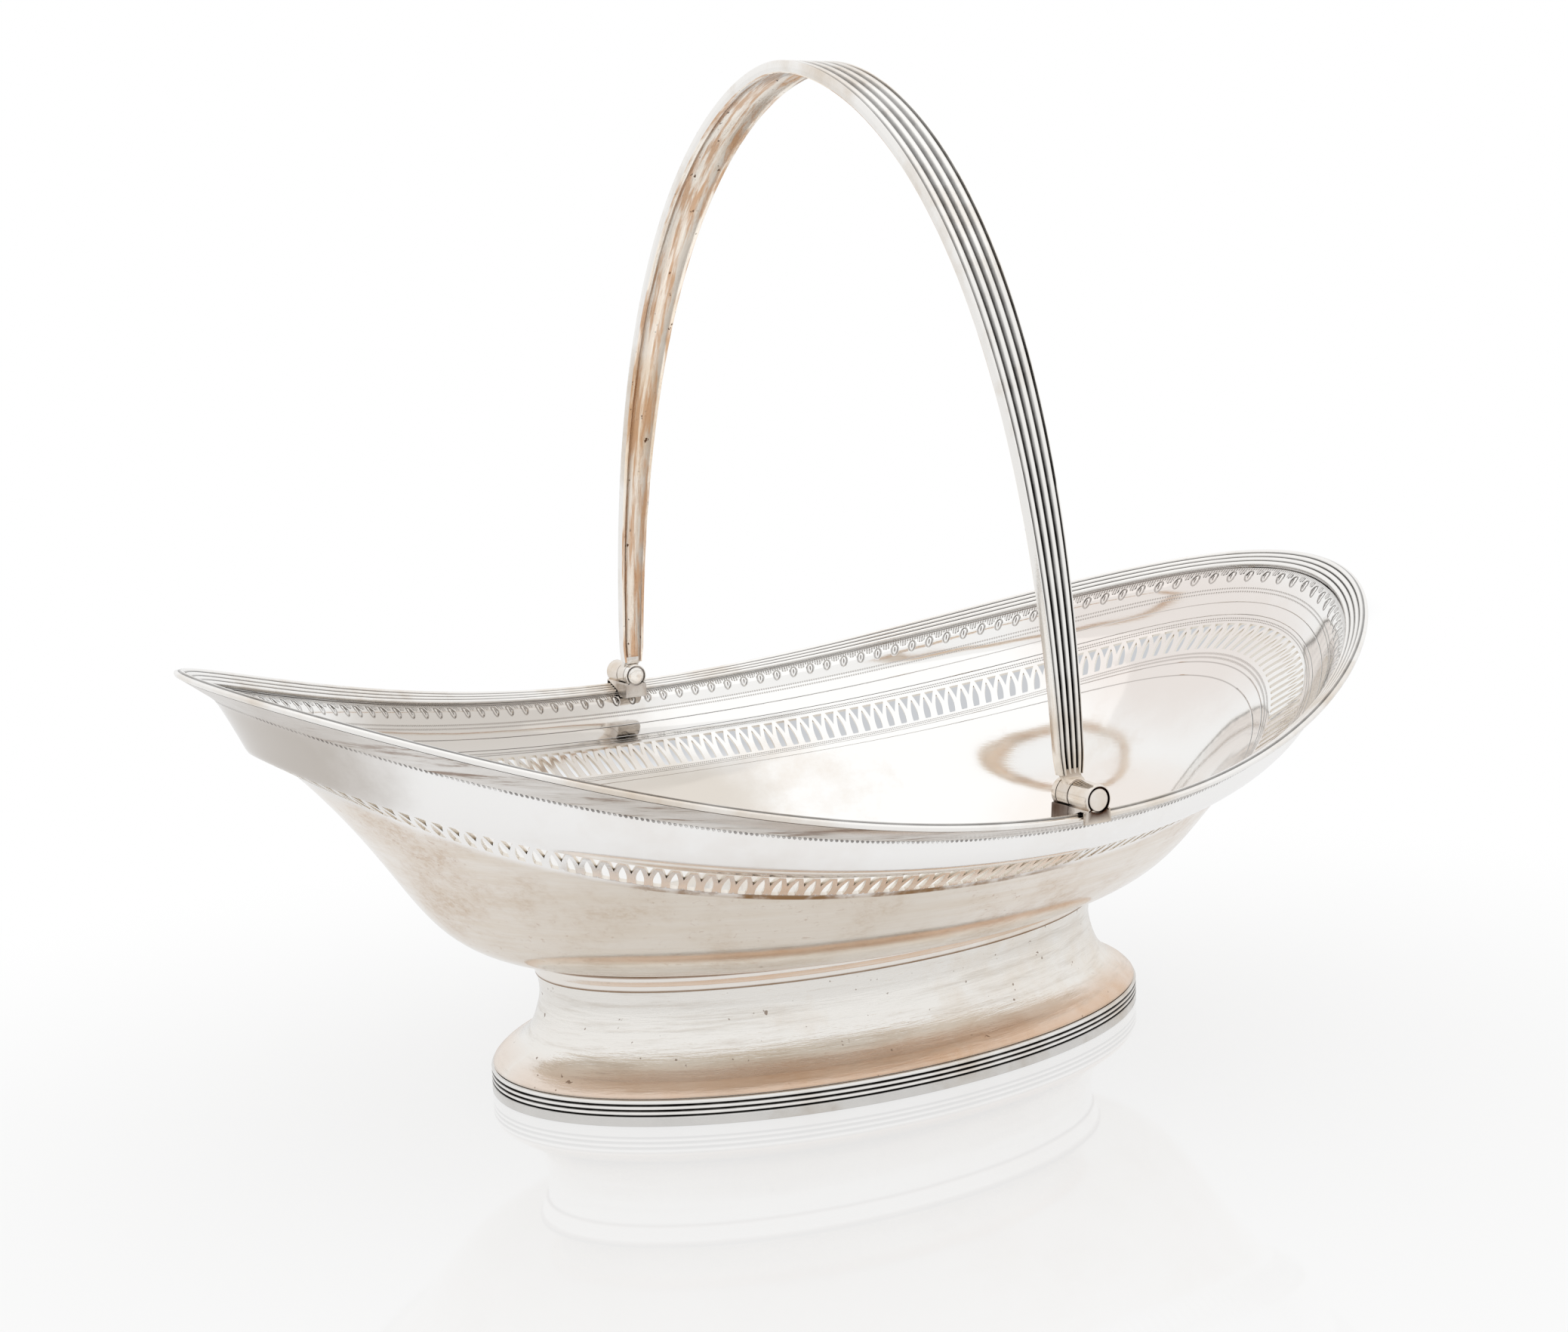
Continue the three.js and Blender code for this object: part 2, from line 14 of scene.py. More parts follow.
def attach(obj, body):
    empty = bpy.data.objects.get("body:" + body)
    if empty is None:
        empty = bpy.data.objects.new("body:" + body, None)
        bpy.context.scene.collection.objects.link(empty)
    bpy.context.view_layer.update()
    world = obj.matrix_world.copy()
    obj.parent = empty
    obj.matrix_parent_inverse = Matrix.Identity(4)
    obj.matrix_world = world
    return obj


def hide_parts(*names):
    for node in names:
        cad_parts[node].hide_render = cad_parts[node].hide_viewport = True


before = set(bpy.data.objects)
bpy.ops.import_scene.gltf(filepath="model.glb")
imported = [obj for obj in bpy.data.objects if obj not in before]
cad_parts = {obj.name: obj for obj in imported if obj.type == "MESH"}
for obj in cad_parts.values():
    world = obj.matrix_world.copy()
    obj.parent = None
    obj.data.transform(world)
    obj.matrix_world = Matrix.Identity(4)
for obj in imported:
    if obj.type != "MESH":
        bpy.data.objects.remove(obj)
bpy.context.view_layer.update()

METRES = 0.001
TURN = 2 * math.pi

# The bowl's sheet, and the clear film that stands for the solder between two pieces.
SHEET = 0.9
FILM = 0.3
# The bowl's levels from the lip to the middle of the floor: half length, half width, height at the
# long sides, height at the pointed ends, pinch of the ends and bend of the lift.
LEVELS = np.array([
    (183.2, 128.2, 87.8, 126.4, 0.14, 0.17),
    (174.5, 121.0, 84.8, 120.0, 0.14, -0.05),
    (167.2, 102.7, 73.2, 105.4, 0.10, -0.30),
    (154.7, 92.0, 66.3, 97.8, 0.07, -0.45),
    (93.3, 49.5, 38.3, 38.3, 0.00, 0.00),
    (0.0, 0.0, 34.8, 34.8, 0.00, 0.00),
])
# How the zones run from level to level at the long sides and at the ends: the two middle control
# points of a cubic, each as (share of the run inwards, share of the drop).
STRAIGHT = ((1 / 3, 1 / 3), (2 / 3, 2 / 3))
DISHED = ((1 / 3, 2 / 3), (2 / 3, 1.0))
SIDE_CURVES = [STRAIGHT, ((0.05, 0.42), (0.38, 0.9)), STRAIGHT, ((0.15, 0.35), (0.5, 0.95)), DISHED]
END_CURVES = [STRAIGHT, ((0.4, 0.33), (0.72, 0.66)), STRAIGHT, ((0.55, 0.6), (0.46, 0.87)), DISHED]
CREASE_ROUNDING = 0.7
ZONE_ROWS = 161
# Steps down the bowl and round it that its table of levels and its slopes are worked out with.
WALK_STEP = 0.25
ANGLE_STEP = 0.004
# The arches of the pierced band, and how far they are turned square to its edges.
ARCHES = 192
SLANT = 0.8

# The foot: half length and half width at the floor, the base ring's height, points round an oval.
FOOT_HALF = (104.9, 61.1)
RING_HEIGHT = 7.4
OVAL_POINTS = 320

# The hinge line, the bracket along it with its two ears, and the handle's bow.
HINGE_Z = 93.3
HINGE_Y = 123.75
BARREL_RADIUS = 3.8
BRACKET_HALF = 7.25
INNER_EAR = 1.8
OUTER_EAR = 7.6
LEG_OFFSET = 4.45
LEG_START = 4.6
APEX_Z = 279.3
LEG_WIDTH = 7.2
CROWN_WIDTH = 16.5


def cubic(first, second, w):
    """The cubic curve from (0, 0) to (1, 1) with the two given middle control points."""
    a, b, c = 3 * (1 - w) ** 2 * w, 3 * (1 - w) * w ** 2, w ** 3
    return a * first[0] + b * second[0] + c, a * first[1] + b * second[1] + c


def smooth_levels():
    """Levels at every WALK_STEP of the walk from the lip to the middle of the floor.

    Each zone runs between two levels along its own curves. A gaussian along the walk then rounds
    the creases between the zones. Returns the walk, the levels there and the walk of each level.
    """
    rows = []
    w = np.linspace(0, 1, ZONE_ROWS)[:, None]
    for level, next_level, side, end in zip(LEVELS, LEVELS[1:], SIDE_CURVES, END_CURVES):
        side_run, side_drop = cubic(*side, w)
        end_run, end_drop = cubic(*end, w)
        share = np.hstack([end_run, side_run, side_drop, end_drop, w, w])
        rows.append(level + (next_level - level) * share)
    rows = np.vstack(rows)
    steps = np.diff(rows, axis=0)
    length = (np.hypot(steps[:, 0], steps[:, 3]) + np.hypot(steps[:, 1], steps[:, 2])) / 2
    walk = np.concatenate([[0], np.cumsum(length)])
    fine = np.arange(0, walk[-1], WALK_STEP)
    table = np.stack([np.interp(fine, walk, column) for column in rows.T], axis=1)
    reach = 20
    before = 2 * table[0] - table[reach:0:-1]
    after = 2 * table[-1] - table[-2:-reach - 2:-1]
    kernel = np.exp(-0.5 * (np.arange(-reach, reach + 1) * WALK_STEP / CREASE_ROUNDING) ** 2)
    kernel /= kernel.sum()
    padded = np.vstack([before, table, after])
    smooth = np.stack([np.convolve(column, kernel, mode="valid") for column in padded.T], axis=1)
    return fine, smooth, np.append(walk[::ZONE_ROWS], walk[-1])


WALK, LEVEL_TABLE, MARKS = smooth_levels()
FLARE_END, BAND_TOP, BAND_FOOT, SEAT, FLOOR_MIDDLE = MARKS[1:]


def on_bowl(angle, walk):
    """The outer face: an ellipse of half axes a and b at each walk, pinched and lifted at its ends.

    x = a cos. y = b sin (1 - pinch cos squared). The height goes from side to end by
    cos squared (1 + bend sin squared).
    """
    a, b, side, end, pinch, bend = (np.interp(walk, WALK, column) for column in LEVEL_TABLE.T)
    c, s = np.cos(angle), np.sin(angle)
    lift = c * c * (1 + bend * (1 - c * c))
    return np.stack([a * c, b * s * (1 - pinch * c * c), side + (end - side) * lift], axis=-1)


def bowl_normal(angle, walk):
    """The unit normal that points into the bowl, from small steps round it and down it."""
    round_it = on_bowl(angle + ANGLE_STEP, walk) - on_bowl(angle - ANGLE_STEP, walk)
    walk = np.clip(walk, 0.3, WALK[-1] - 0.3)
    down_it = on_bowl(angle, walk + WALK_STEP) - on_bowl(angle, walk - WALK_STEP)
    normal = np.cross(round_it, down_it)
    return normal / np.linalg.norm(normal, axis=-1, keepdims=True)


def in_bowl(angle, walk, inward):
    """The point moved inwards from the outer face, square to it."""
    angle, walk = np.broadcast_arrays(np.asarray(angle, float), np.asarray(walk, float))
    return on_bowl(angle, walk) + bowl_normal(angle, walk) * np.asarray(inward, float)[..., None]


def equal_arches():
    """Angles against arch numbers, so that the arches are equally wide along the band, and that width."""
    angle = np.linspace(0, TURN, 2881)
    places = on_bowl(angle, np.full_like(angle, (BAND_TOP + BAND_FOOT) / 2))
    length = np.concatenate([[0], np.cumsum(np.linalg.norm(np.diff(places, axis=0), axis=1))])
    return angle, length / length[-1] * ARCHES, length[-1] / ARCHES


ARCH_ANGLES, ARCH_NUMBERS, PITCH = equal_arches()


def arch_angle(number):
    """The angle round the bowl at an arch number, which may run past a full turn."""
    whole = np.floor_divide(number, ARCHES)
    return np.interp(number - whole * ARCHES, ARCH_NUMBERS, ARCH_ANGLES) + whole * TURN


def slanted(angle, walk):
    """Turns lines of one angle so that they cross the band nearly square to its edges.

    The turn is SLANT (down the band . round it) / (round it . round it), and it stops outside the band.
    """
    middle = (BAND_TOP + BAND_FOOT) / 2
    at = np.full_like(angle, middle)
    round_it = (on_bowl(angle + ANGLE_STEP, at) - on_bowl(angle - ANGLE_STEP, at)) / (2 * ANGLE_STEP)
    down_it = on_bowl(angle, at + 0.5) - on_bowl(angle, at - 0.5)
    rate = (round_it * down_it).sum(axis=-1) / (round_it ** 2).sum(axis=-1)
    return angle - SLANT * rate * (np.clip(walk, BAND_TOP, BAND_FOOT) - middle)


def grid_quads(rows, columns, close_rows=False):
    """Corner numbers of the squares of a grid of points stored row by row. Its columns close up."""
    r = np.arange(rows if close_rows else rows - 1)[:, None]
    c = np.arange(columns)[None, :]
    down, right = (r + 1) % rows, (c + 1) % columns
    return np.stack([r * columns + c, r * columns + right, down * columns + right, down * columns + c],
                    axis=-1).reshape(-1, 4)


def make_piece(name, points, faces, materials, body="basket", replaces=(), crease=35,
               face_materials=None, uv=None, tarnish_and_shade_share=None):
    """A piece from points in millimetres and blocks of faces, smooth but for creases in degrees.

    A last argument gives the share of dark at each point. Oxide makes most of it, but on the foot,
    the reeds and the pins' seats it is partly painted shade and reflection.
    """
    mesh = bpy.data.meshes.new(name)
    faces = [face for block in faces for face in np.asarray(block).tolist()]
    mesh.from_pydata((np.asarray(points) * METRES).tolist(), [], faces)
    for material in materials:
        mesh.materials.append(material)
    if face_materials is not None:
        mesh.polygons.foreach_set("material_index", np.asarray(face_materials, np.int32))
    if uv is not None:
        mesh.uv_layers.new(name="UVMap").data.foreach_set("uv", np.asarray(uv, np.float32).ravel())
    if tarnish_and_shade_share is not None:
        oxide_and_shade = mesh.attributes.new("tarnish_and_shade_share", "FLOAT", "POINT")
        oxide_and_shade.data.foreach_set("value", np.asarray(tarnish_and_shade_share, np.float32))
    mesh.polygons.foreach_set("use_smooth", np.ones(len(mesh.polygons), bool))
    mesh.set_sharp_from_angle(angle=math.radians(crease))
    mesh.update()
    piece = bpy.data.objects.new(name, mesh)
    bpy.context.scene.collection.objects.link(piece)
    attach(piece, body)
    if replaces:
        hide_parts(*replaces)


def join_shells(shells):
    """Closed shells of (points, faces, share of dark) as one of each."""
    points, faces, dark, start = [], [], [], 0
    for shell_points, shell_faces, shell_dark in shells:
        points.append(shell_points)
        faces += [np.asarray(block) + start for block in shell_faces]
        dark.append(shell_dark)
        start += len(shell_points)
    return np.vstack(points), faces, np.concatenate(dark)


# Materials.

# Settings that many nodes share.
SMOOTH = {"interpolation_type": "SMOOTHSTEP"}
TIMES = {"operation": "MULTIPLY"}
TIMES_PLUS = {"operation": "MULTIPLY_ADD"}
LESS = {"operation": "SUBTRACT"}


def linear(hex_colour):
    """An sRGB hex colour as linear RGBA."""
    parts = [int(hex_colour[i:i + 2], 16) / 255 for i in (1, 3, 5)]
    return tuple(p / 12.92 if p <= 0.04045 else ((p + 0.055) / 1.055) ** 2.4 for p in parts) + (1.0,)


def add(tree, kind, *inputs, output=0, **settings):
    """Adds a node with its settings, fills its sockets, and returns one of its outputs.

    inputs fill the sockets in use from the first on, and settings name a property or a socket. An
    output of another node is linked, and a number or a hex colour is set.
    """
    node = tree.nodes.new("ShaderNode" + kind)
    fills = []
    for key, value in settings.items():
        if key in node.inputs:
            fills.append((node.inputs[key], value))
        else:
            setattr(node, key, value)
    fills += zip([socket for socket in node.inputs if socket.enabled], inputs)
    for socket, value in fills:
        if isinstance(value, bpy.types.NodeSocket):
            tree.links.new(value, socket)
        else:
            socket.default_value = linear(value) if isinstance(value, str) else value
    if isinstance(output, str):
        return node.outputs[output]
    used = [socket for socket in node.outputs if socket.enabled]
    return used[output] if used else None


def new_material(name):
    """A material with an empty tree of nodes, and the tree."""
    material = bpy.data.materials.new(name)
    material.use_nodes = True
    material.node_tree.nodes.clear()
    return material, material.node_tree


def blotches(tree, place, size, detail=2.0, roughness=0.5, stretch=(1.0, 1.0, 1.0)):
    """Uneven patches about size millimetres wide, drawn out by stretch."""
    moved = add(tree, "Mapping", place, Scale=tuple(1 / v for v in stretch))
    return add(tree, "TexNoise", moved, Scale=1000 / size, Detail=detail, Roughness=roughness)


def between(tree, value, low, high, soft):
    """One between low and high, falling to nought within soft outside them."""
    rise = add(tree, "MapRange", value, low - soft, low, **SMOOTH)
    fall = add(tree, "MapRange", value, high + soft, high, **SMOOTH)
    return add(tree, "Math", rise, fall, **TIMES)


# Lays one colour over another: tarnish, oxide and stains, and also painted shade and reflection.
def tinted(tree, colour, tint, *shares):
    """The colour with another over it, as strong as the product of the shares."""
    strength = shares[0]
    for share in shares[1:]:
        strength = add(tree, "Math", strength, share, **TIMES)
    return add(tree, "Mix", strength, colour, tint, data_type="RGBA")


def sterling(name, bright, tarnish, spread, roughness, scratch, oxide_and_shade=None, worked=None, patches=(),
             waves=1.0):
    """Sterling silver, polished by hand and left to tarnish.

    A slow noise of 60 mm spreads the tarnish, one of 9 mm breaks it up, and noise drawn out to hairs
    of 0.4 mm makes the wiping scratches. Waves of 60 and 22 mm are left from the hammer. spread is
    the share of tarnish, scratch the strength of the hairs, and waves how deep the hammer's waves are.
    Oxide is a colour laid where an attribute gives its share, in grooves and other dark places. On
    the foot's base it is a painted reflection, in the reeds partly a painted dark reflection, and in
    the pins' seats painted shade. worked adds what one face alone has, and patches are the places,
    sizes and colours of single patches of painted shade and reflection, partly tarnish outside.
    """
    material, tree = new_material(name)
    place = add(tree, "TexCoord", output="Object")
    broad = blotches(tree, place, 60, 2.0)
    middle = blotches(tree, place, 22, 1.0)
    small = blotches(tree, place, 9, 6.0, 0.6)
    mottled = add(tree, "Math", small, 0.45, broad, **TIMES_PLUS)
    bloom = add(tree, "MapRange", mottled, 0.95 - 0.4 * spread, 1.25 - 0.4 * spread)
    colour = tinted(tree, bright, tarnish, bloom)
    hairs = blotches(tree, place, 4, 4.0, 0.65, stretch=(1.0, 1.0, 1 / 9))
    rough = add(tree, "Math", hairs, 0.05, roughness, **TIMES_PLUS)
    rough = add(tree, "Math", bloom, 0.1, rough, **TIMES_PLUS)
    # Each patch lays painted shade and reflection; outside it is partly tarnish.
    for middle_at, size, tint in patches:
        moved = add(tree, "Mapping", place, Location=middle_at, Scale=size, vector_type="TEXTURE")
        ball = add(tree, "TexGradient", moved, gradient_type="SPHERICAL", output=1)
        ragged = add(tree, "Math", small, 0.25, add(tree, "Math", ball, 0.12, **LESS), **TIMES_PLUS)
        colour = tinted(tree, colour, tint, add(tree, "MapRange", ragged, 0.0, 0.6, **SMOOTH),
                         add(tree, "MapRange", ball, 0.0, 0.3, **SMOOTH))
    # Oxide in grooves and corners, which on the foot, the reeds and the pins' seats is partly painted shade
    # and reflection.
    if oxide_and_shade:
        tarnish_and_shade_share = add(tree, "Attribute", attribute_name="tarnish_and_shade_share", output="Fac")
        uneven = add(tree, "Math", small, 0.6, 0.7, **TIMES_PLUS)
        held = add(tree, "Math", tarnish_and_shade_share, uneven, use_clamp=True, **TIMES)
        colour = tinted(tree, colour, oxide_and_shade, held)
        rough = add(tree, "Math", held, 0.25, rough, **TIMES_PLUS)
    bump = add(tree, "Bump", Height=hairs, Distance=0.02 * METRES, Strength=scratch)
    bump = add(tree, "Bump", Height=middle, Distance=0.07 * waves * METRES, Normal=bump)
    bump = add(tree, "Bump", Height=broad, Distance=0.35 * waves * METRES, Normal=bump)
    if worked:
        colour, rough, bump = worked(tree, place, small, colour, rough, bump)
    shader = add(tree, "BsdfPrincipled", colour, Metallic=1.0, Roughness=rough, Normal=bump)
    add(tree, "OutputMaterial", shader)
    return material


def bowl_map(tree):
    """The bowl's UV map as the share of a turn and the walk down from the lip in millimetres."""
    uv = add(tree, "UVMap", uv_map="UVMap")
    along, down = (add(tree, "SeparateXYZ", uv, output=axis) for axis in ("X", "Y"))
    return along, add(tree, "Math", down, float(WALK[-1]), **TIMES)


def cell(tree, along, count, shift=0.0):
    """Distance along from the nearest of count equal places, in millimetres."""
    turned_by = add(tree, "Math", along, float(count), shift, **TIMES_PLUS)
    share = add(tree, "Math", turned_by, operation="FRACT")
    return add(tree, "Math", add(tree, "Math", share, 0.5, **LESS), ARCHES * PITCH / count, **TIMES)


def disc(tree, x, y, x_radius, y_radius, softness):
    """One inside an ellipse and nought outside it, with a soft edge."""
    squares = []
    for value, radius in ((x, x_radius), (y, y_radius)):
        share = add(tree, "Math", add(tree, "Math", value, radius, operation="DIVIDE"), operation="ABSOLUTE")
        squares.append(add(tree, "Math", share, 2.0, operation="POWER"))
    inside = add(tree, "Math", 1.0, add(tree, "Math", *squares, operation="ADD"), **LESS)
    return add(tree, "Math", inside, softness, operation="DIVIDE", use_clamp=True)


def line(tree, walk, at, half_width):
    """One on the line round the bowl at a walk, falling to nought at its half width."""
    away = add(tree, "Math", add(tree, "Math", walk, at, **LESS), operation="ABSOLUTE")
    share = add(tree, "Math", away, half_width, operation="DIVIDE")
    return add(tree, "Math", 1.0, share, use_clamp=True, **LESS)


def chased_with_painted_shade_inside(tree, place, small, colour, rough, bump):
    """The inside: a border punched under the reeds, dotted and engraved lines, dark in every mark.

    Each mark is its shape, its height and its share of dark. Oxide makes most of the dark, but the
    hatched crescents also paint the shadows at the leaves' tops, and a line under the reeds is painted
    shade. A leaf of the border is a ring with a boss and a slit in it, and a hatched crescent lies
    between two leaves.
    """
    along, walk = bowl_map(tree)
    fine = cell(tree, along, FINE_PUNCHES)
    marks = [(disc(tree, fine, add(tree, "Math", walk, at, **LESS), 0.33, 0.36, 0.7), -0.35, 0.36)
             for at in DOTTED_LINES]
    marks += [(line(tree, walk, at, 0.24), -0.3, 0.48) for at in ENGRAVED_LINES]
    at_leaf, amid_leaves = cell(tree, along, LEAVES), cell(tree, along, LEAVES, 0.5)
    low = add(tree, "Math", walk, LEAF_MIDDLE, **LESS)
    ring = add(tree, "Math", disc(tree, at_leaf, low, 1.35, 2.1, 0.3),
               disc(tree, at_leaf, low, 0.9, 1.8, 0.4), use_clamp=True, **LESS)
    boss = disc(tree, at_leaf, low, 0.7, 1.5, 1.0)
    slit = disc(tree, at_leaf, low, 0.2, 1.0, 0.6)
    high = add(tree, "Math", walk, LEAF_MIDDLE - 1.5, **LESS)
    # The crescents are darkened partly as painted shadow at the tops of the leaves.
    crescent = disc(tree, amid_leaves, high, 1.3, 1.0, 0.5)
    hatch = add(tree, "Math", add(tree, "Math", fine, operation="ABSOLUTE"), 0.24, operation="LESS_THAN")
    hatched = add(tree, "Math", crescent, hatch, **TIMES)
    serrated = add(tree, "Math", hatch, line(tree, walk, REED_FOOT + 0.9, 1.2), **TIMES)
    # Painted shade along the foot of the reeds.
    reed_shade = line(tree, walk, REED_FOOT + 0.2, 0.4)
    marks += [(ring, -0.6, 0.5), (boss, 0.7, 0.0), (slit, -0.7, 0.8), (hatched, -0.6, 0.45),
              (serrated, -0.6, 0.45), (reed_shade, -0.8, 0.65)]
    height, dark = 0.0, 0.0
    for mark, lift, shade in marks:
        height = add(tree, "Math", mark, lift, height, **TIMES_PLUS)
        dark = add(tree, "Math", mark, shade, dark, use_clamp=True, **TIMES_PLUS)
    bump = add(tree, "Bump", Height=height, Distance=0.4 * METRES, Normal=bump)
    return tinted(tree, colour, "#55463A", dark), rough, bump


def worn_with_painted_shade_outside(tree, place, small, colour, rough, bump):
    """The outside: a brushed flare with brown stains, a dotted line at its foot and a bright bulge.

    The grey of the brushing on the flare is also a painted reflection of the shaded table, and it
    fades towards the left tip. A gold-brown painted reflection and shade lies in the crease under
    the band, and freckles lie on the belly. lengthwise is X in metres: the left end of the flare is
    brighter, and its middle part has brown stains.
    """
    along, walk = bowl_map(tree)
    lengthwise = add(tree, "SeparateXYZ", place, output="X")
    flare = add(tree, "MapRange", walk, FLARE_END + 0.4, FLARE_END - 0.4, **SMOOTH)
    belly = add(tree, "MapRange", walk, BAND_FOOT - 1.0, BAND_FOOT + 4.0, **SMOOTH)
    uneven = add(tree, "MapRange", small, 0.38, 0.6, 0.25, 1.0, **SMOOTH)
    streaks = blotches(tree, place, 6, 5.0, 0.7, stretch=(9.0, 4.0, 1 / 3))
    wiped = add(tree, "MapRange", streaks, 0.3, 0.75, 0.55, 1.0, **SMOOTH)
    colour = tinted(tree, colour, "#EADFD2", belly, wiped)
    grain = blotches(tree, place, 1.6, 6.0, 0.8, stretch=(1.8, 1.4, 1.0))
    grain = add(tree, "MapRange", grain, 0.35, 0.7, **SMOOTH)
    grain = add(tree, "MapRange", grain, 0.0, 1.0, 0.25, 0.8, **SMOOTH)
    patchy = add(tree, "MapRange", blotches(tree, place, 30, 4.0, 0.65), 0.42, 0.66, **SMOOTH)
    colour = tinted(tree, colour, "#CDB49A", belly, patchy, grain)
    freckles = blotches(tree, place, 1.8, 5.0, 0.75, stretch=(1.4, 1.2, 1.0))
    freckles = add(tree, "MapRange", freckles, 0.58, 0.7, **SMOOTH)
    fading = add(tree, "MapRange", blotches(tree, place, 45, 1.0), 0.42, 0.62, **SMOOTH)
    colour = tinted(tree, colour, "#A8764F", belly, freckles, fading, 0.5)
    colour = tinted(tree, colour, "#D8CEC0", belly, between(tree, lengthwise, -0.09, -0.03, 0.05), 0.5)
    # Grey brushing on the flare, also a painted reflection of the shaded table, with less off the left tip.
    brushed_and_painted_shade = add(tree, "MapRange", streaks, 0.35, 0.7, 0.45, 0.95, **SMOOTH)
    off_the_tip = add(tree, "MapRange", lengthwise, -0.19, -0.1, 0.4, 1.0, **SMOOTH)
    colour = tinted(tree, colour, "#C0B7AD", flare, brushed_and_painted_shade, off_the_tip)
    stains = add(tree, "MapRange", streaks, 0.53, 0.64, **SMOOTH)
    amid = between(tree, lengthwise, -0.14, 0.0, 0.05)
    colour = tinted(tree, colour, "#7F6049", flare, stains, amid, 0.75)
    # Painted gold-brown reflection and shade in the crease under the band, over its middle part.
    crease = between(tree, walk, BAND_FOOT + 0.1, BAND_FOOT + 2.6, 1.2)
    colour = tinted(tree, colour, "#8E6B45", crease, uneven, between(tree, lengthwise, -0.085, 0.0, 0.03))
    at_dots = add(tree, "Math", walk, FLARE_END + 0.2, **LESS)
    dots = disc(tree, cell(tree, along, FLARE_DOTS), at_dots, 0.4, 0.5, 0.6)
    colour = tinted(tree, colour, "#3A2E26", dots, uneven, 0.7)
    rough = add(tree, "Math", flare, 0.08, rough, **TIMES_PLUS)
    sunk = add(tree, "Math", dots, -1.0, **TIMES)
    return colour, rough, add(tree, "Bump", Height=sunk, Distance=0.3 * METRES, Normal=bump)


def worn_foot(tree, place, small, colour, rough, bump):
    """The foot: grey streaks drawn out lengthwise by polishing, and brown specks."""
    streaks = blotches(tree, place, 5, 5.0, 0.7, stretch=(9.0, 5.0, 0.5))
    grey = add(tree, "MapRange", streaks, 0.48, 0.72, 0.0, 0.34, **SMOOTH)
    specks = add(tree, "MapRange", blotches(tree, place, 2.4, 3.0), 0.7, 0.74, 0.0, 0.7, **SMOOTH)
    colour = tinted(tree, tinted(tree, colour, "#B5A898", grey), "#6A4A30", specks)
    return colour, rough, add(tree, "Bump", Height=streaks, Distance=0.3 * METRES, Normal=bump)


def yellowed_hollow(tree, place, small, colour, rough, bump):
    """The hollow of the strap: brown streaks that run along it, and dark specks."""
    streaks = blotches(tree, place, 1.7, 4.0, 0.6, stretch=(1.0, 8.0, 14.0))
    brown = add(tree, "MapRange", streaks, 0.42, 0.62, 0.0, 0.75, **SMOOTH)
    specks = add(tree, "MapRange", blotches(tree, place, 2.0, 3.0), 0.68, 0.74, **SMOOTH)
    colour = tinted(tree, tinted(tree, colour, "#C79667", brown), "#5A3B22", specks)
    return colour, rough, add(tree, "Bump", Height=streaks, Distance=0.2 * METRES, Normal=bump)


# How many punched marks go round, and the walks of reeds, leaves and lines inside, from the lip.
FINE_PUNCHES = 1080
FLARE_DOTS = 700
LEAVES = 150
REED_TOP = -1.0
REED_FOOT = 5.6
LEAF_MIDDLE = 9.3
DOTTED_LINES = (13.6, 14.9, BAND_TOP - 2.5, BAND_TOP - 1.3, BAND_FOOT + 0.9, BAND_FOOT + 1.9)
ENGRAVED_LINES = (19.0, 24.6, BAND_FOOT + 3.1, BAND_FOOT + 6.6)

# Single patches as (place, half sizes, colour), in metres. Inside they are painted shade and
# reflection; the one outside is partly tarnish and partly painted reflection of the shaded table.
INSIDE_PAINTED_SHADE = [((-0.06, 0.1, 0.085), (0.09, 0.06, 0.04), "#D3CDC6"),
                 ((-0.005, 0.09, 0.055), (0.05, 0.04, 0.02), "#DAD3CA"),
                 ((0.155, 0.03, 0.1), (0.05, 0.08, 0.05), "#ECE5E0"),
                 ((0.11, 0.0, 0.045), (0.05, 0.06, 0.03), "#F3ECE6")]
# Partly tarnish and partly painted reflection of the shaded table, at the left end.
OUTSIDE_TARNISH_AND_PAINTED_REFLECTION = [((-0.178, -0.02, 0.098), (0.042, 0.09, 0.05), "#C8C1BA")]

# Sheet silver inside the bowl: buffed bright, with dark left in the punched marks, painted shade
# under the reeds and at the leaves' tops, and patches of painted shade and reflection.
inside_silver = sterling("sterling_sheet_chased_buffed_and_painted_shade", "#F7F6F4", "#E9E0D6", 0.4, 0.05, 0.2,
                         worked=chased_with_painted_shade_inside, patches=INSIDE_PAINTED_SHADE, waves=2.4)
# Sheet silver outside: wiped for years, with a yellow-brown bloom and soft streaks. Painted
# reflection and shade lie on the flare and in the crease under the band, and partly at the left end.
outside_silver = sterling("sterling_sheet_wiped_tarnished_and_painted_shade", "#FDFCFB", "#F6F2EE", 0.5, 0.07, 0.45,
                          worked=worn_with_painted_shade_outside, patches=OUTSIDE_TARNISH_AND_PAINTED_REFLECTION)
# Saw-cut and filed walls of the openings, duller than the sheet.
cut_silver = sterling("sterling_sawn_edges", "#EFE9E0", "#CDBFAE", 0.5, 0.25, 0.6)
# Sheet silver of the collar, with thin brown lines where it meets the bowl and the foot.
collar_silver = sterling("sterling_collar", "#F3EEE8", "#E3D4C2", 0.5, 0.07, 0.4, oxide_and_shade="#8A6746")
# Drawn wire: bright crests, and black in the grooves that is partly oxide and partly painted dark
# reflection.
reeded_silver = sterling("sterling_reeded_wire", "#F8F6F3", "#DED1C1", 0.6, 0.07, 0.35, oxide_and_shade="#1A110B")
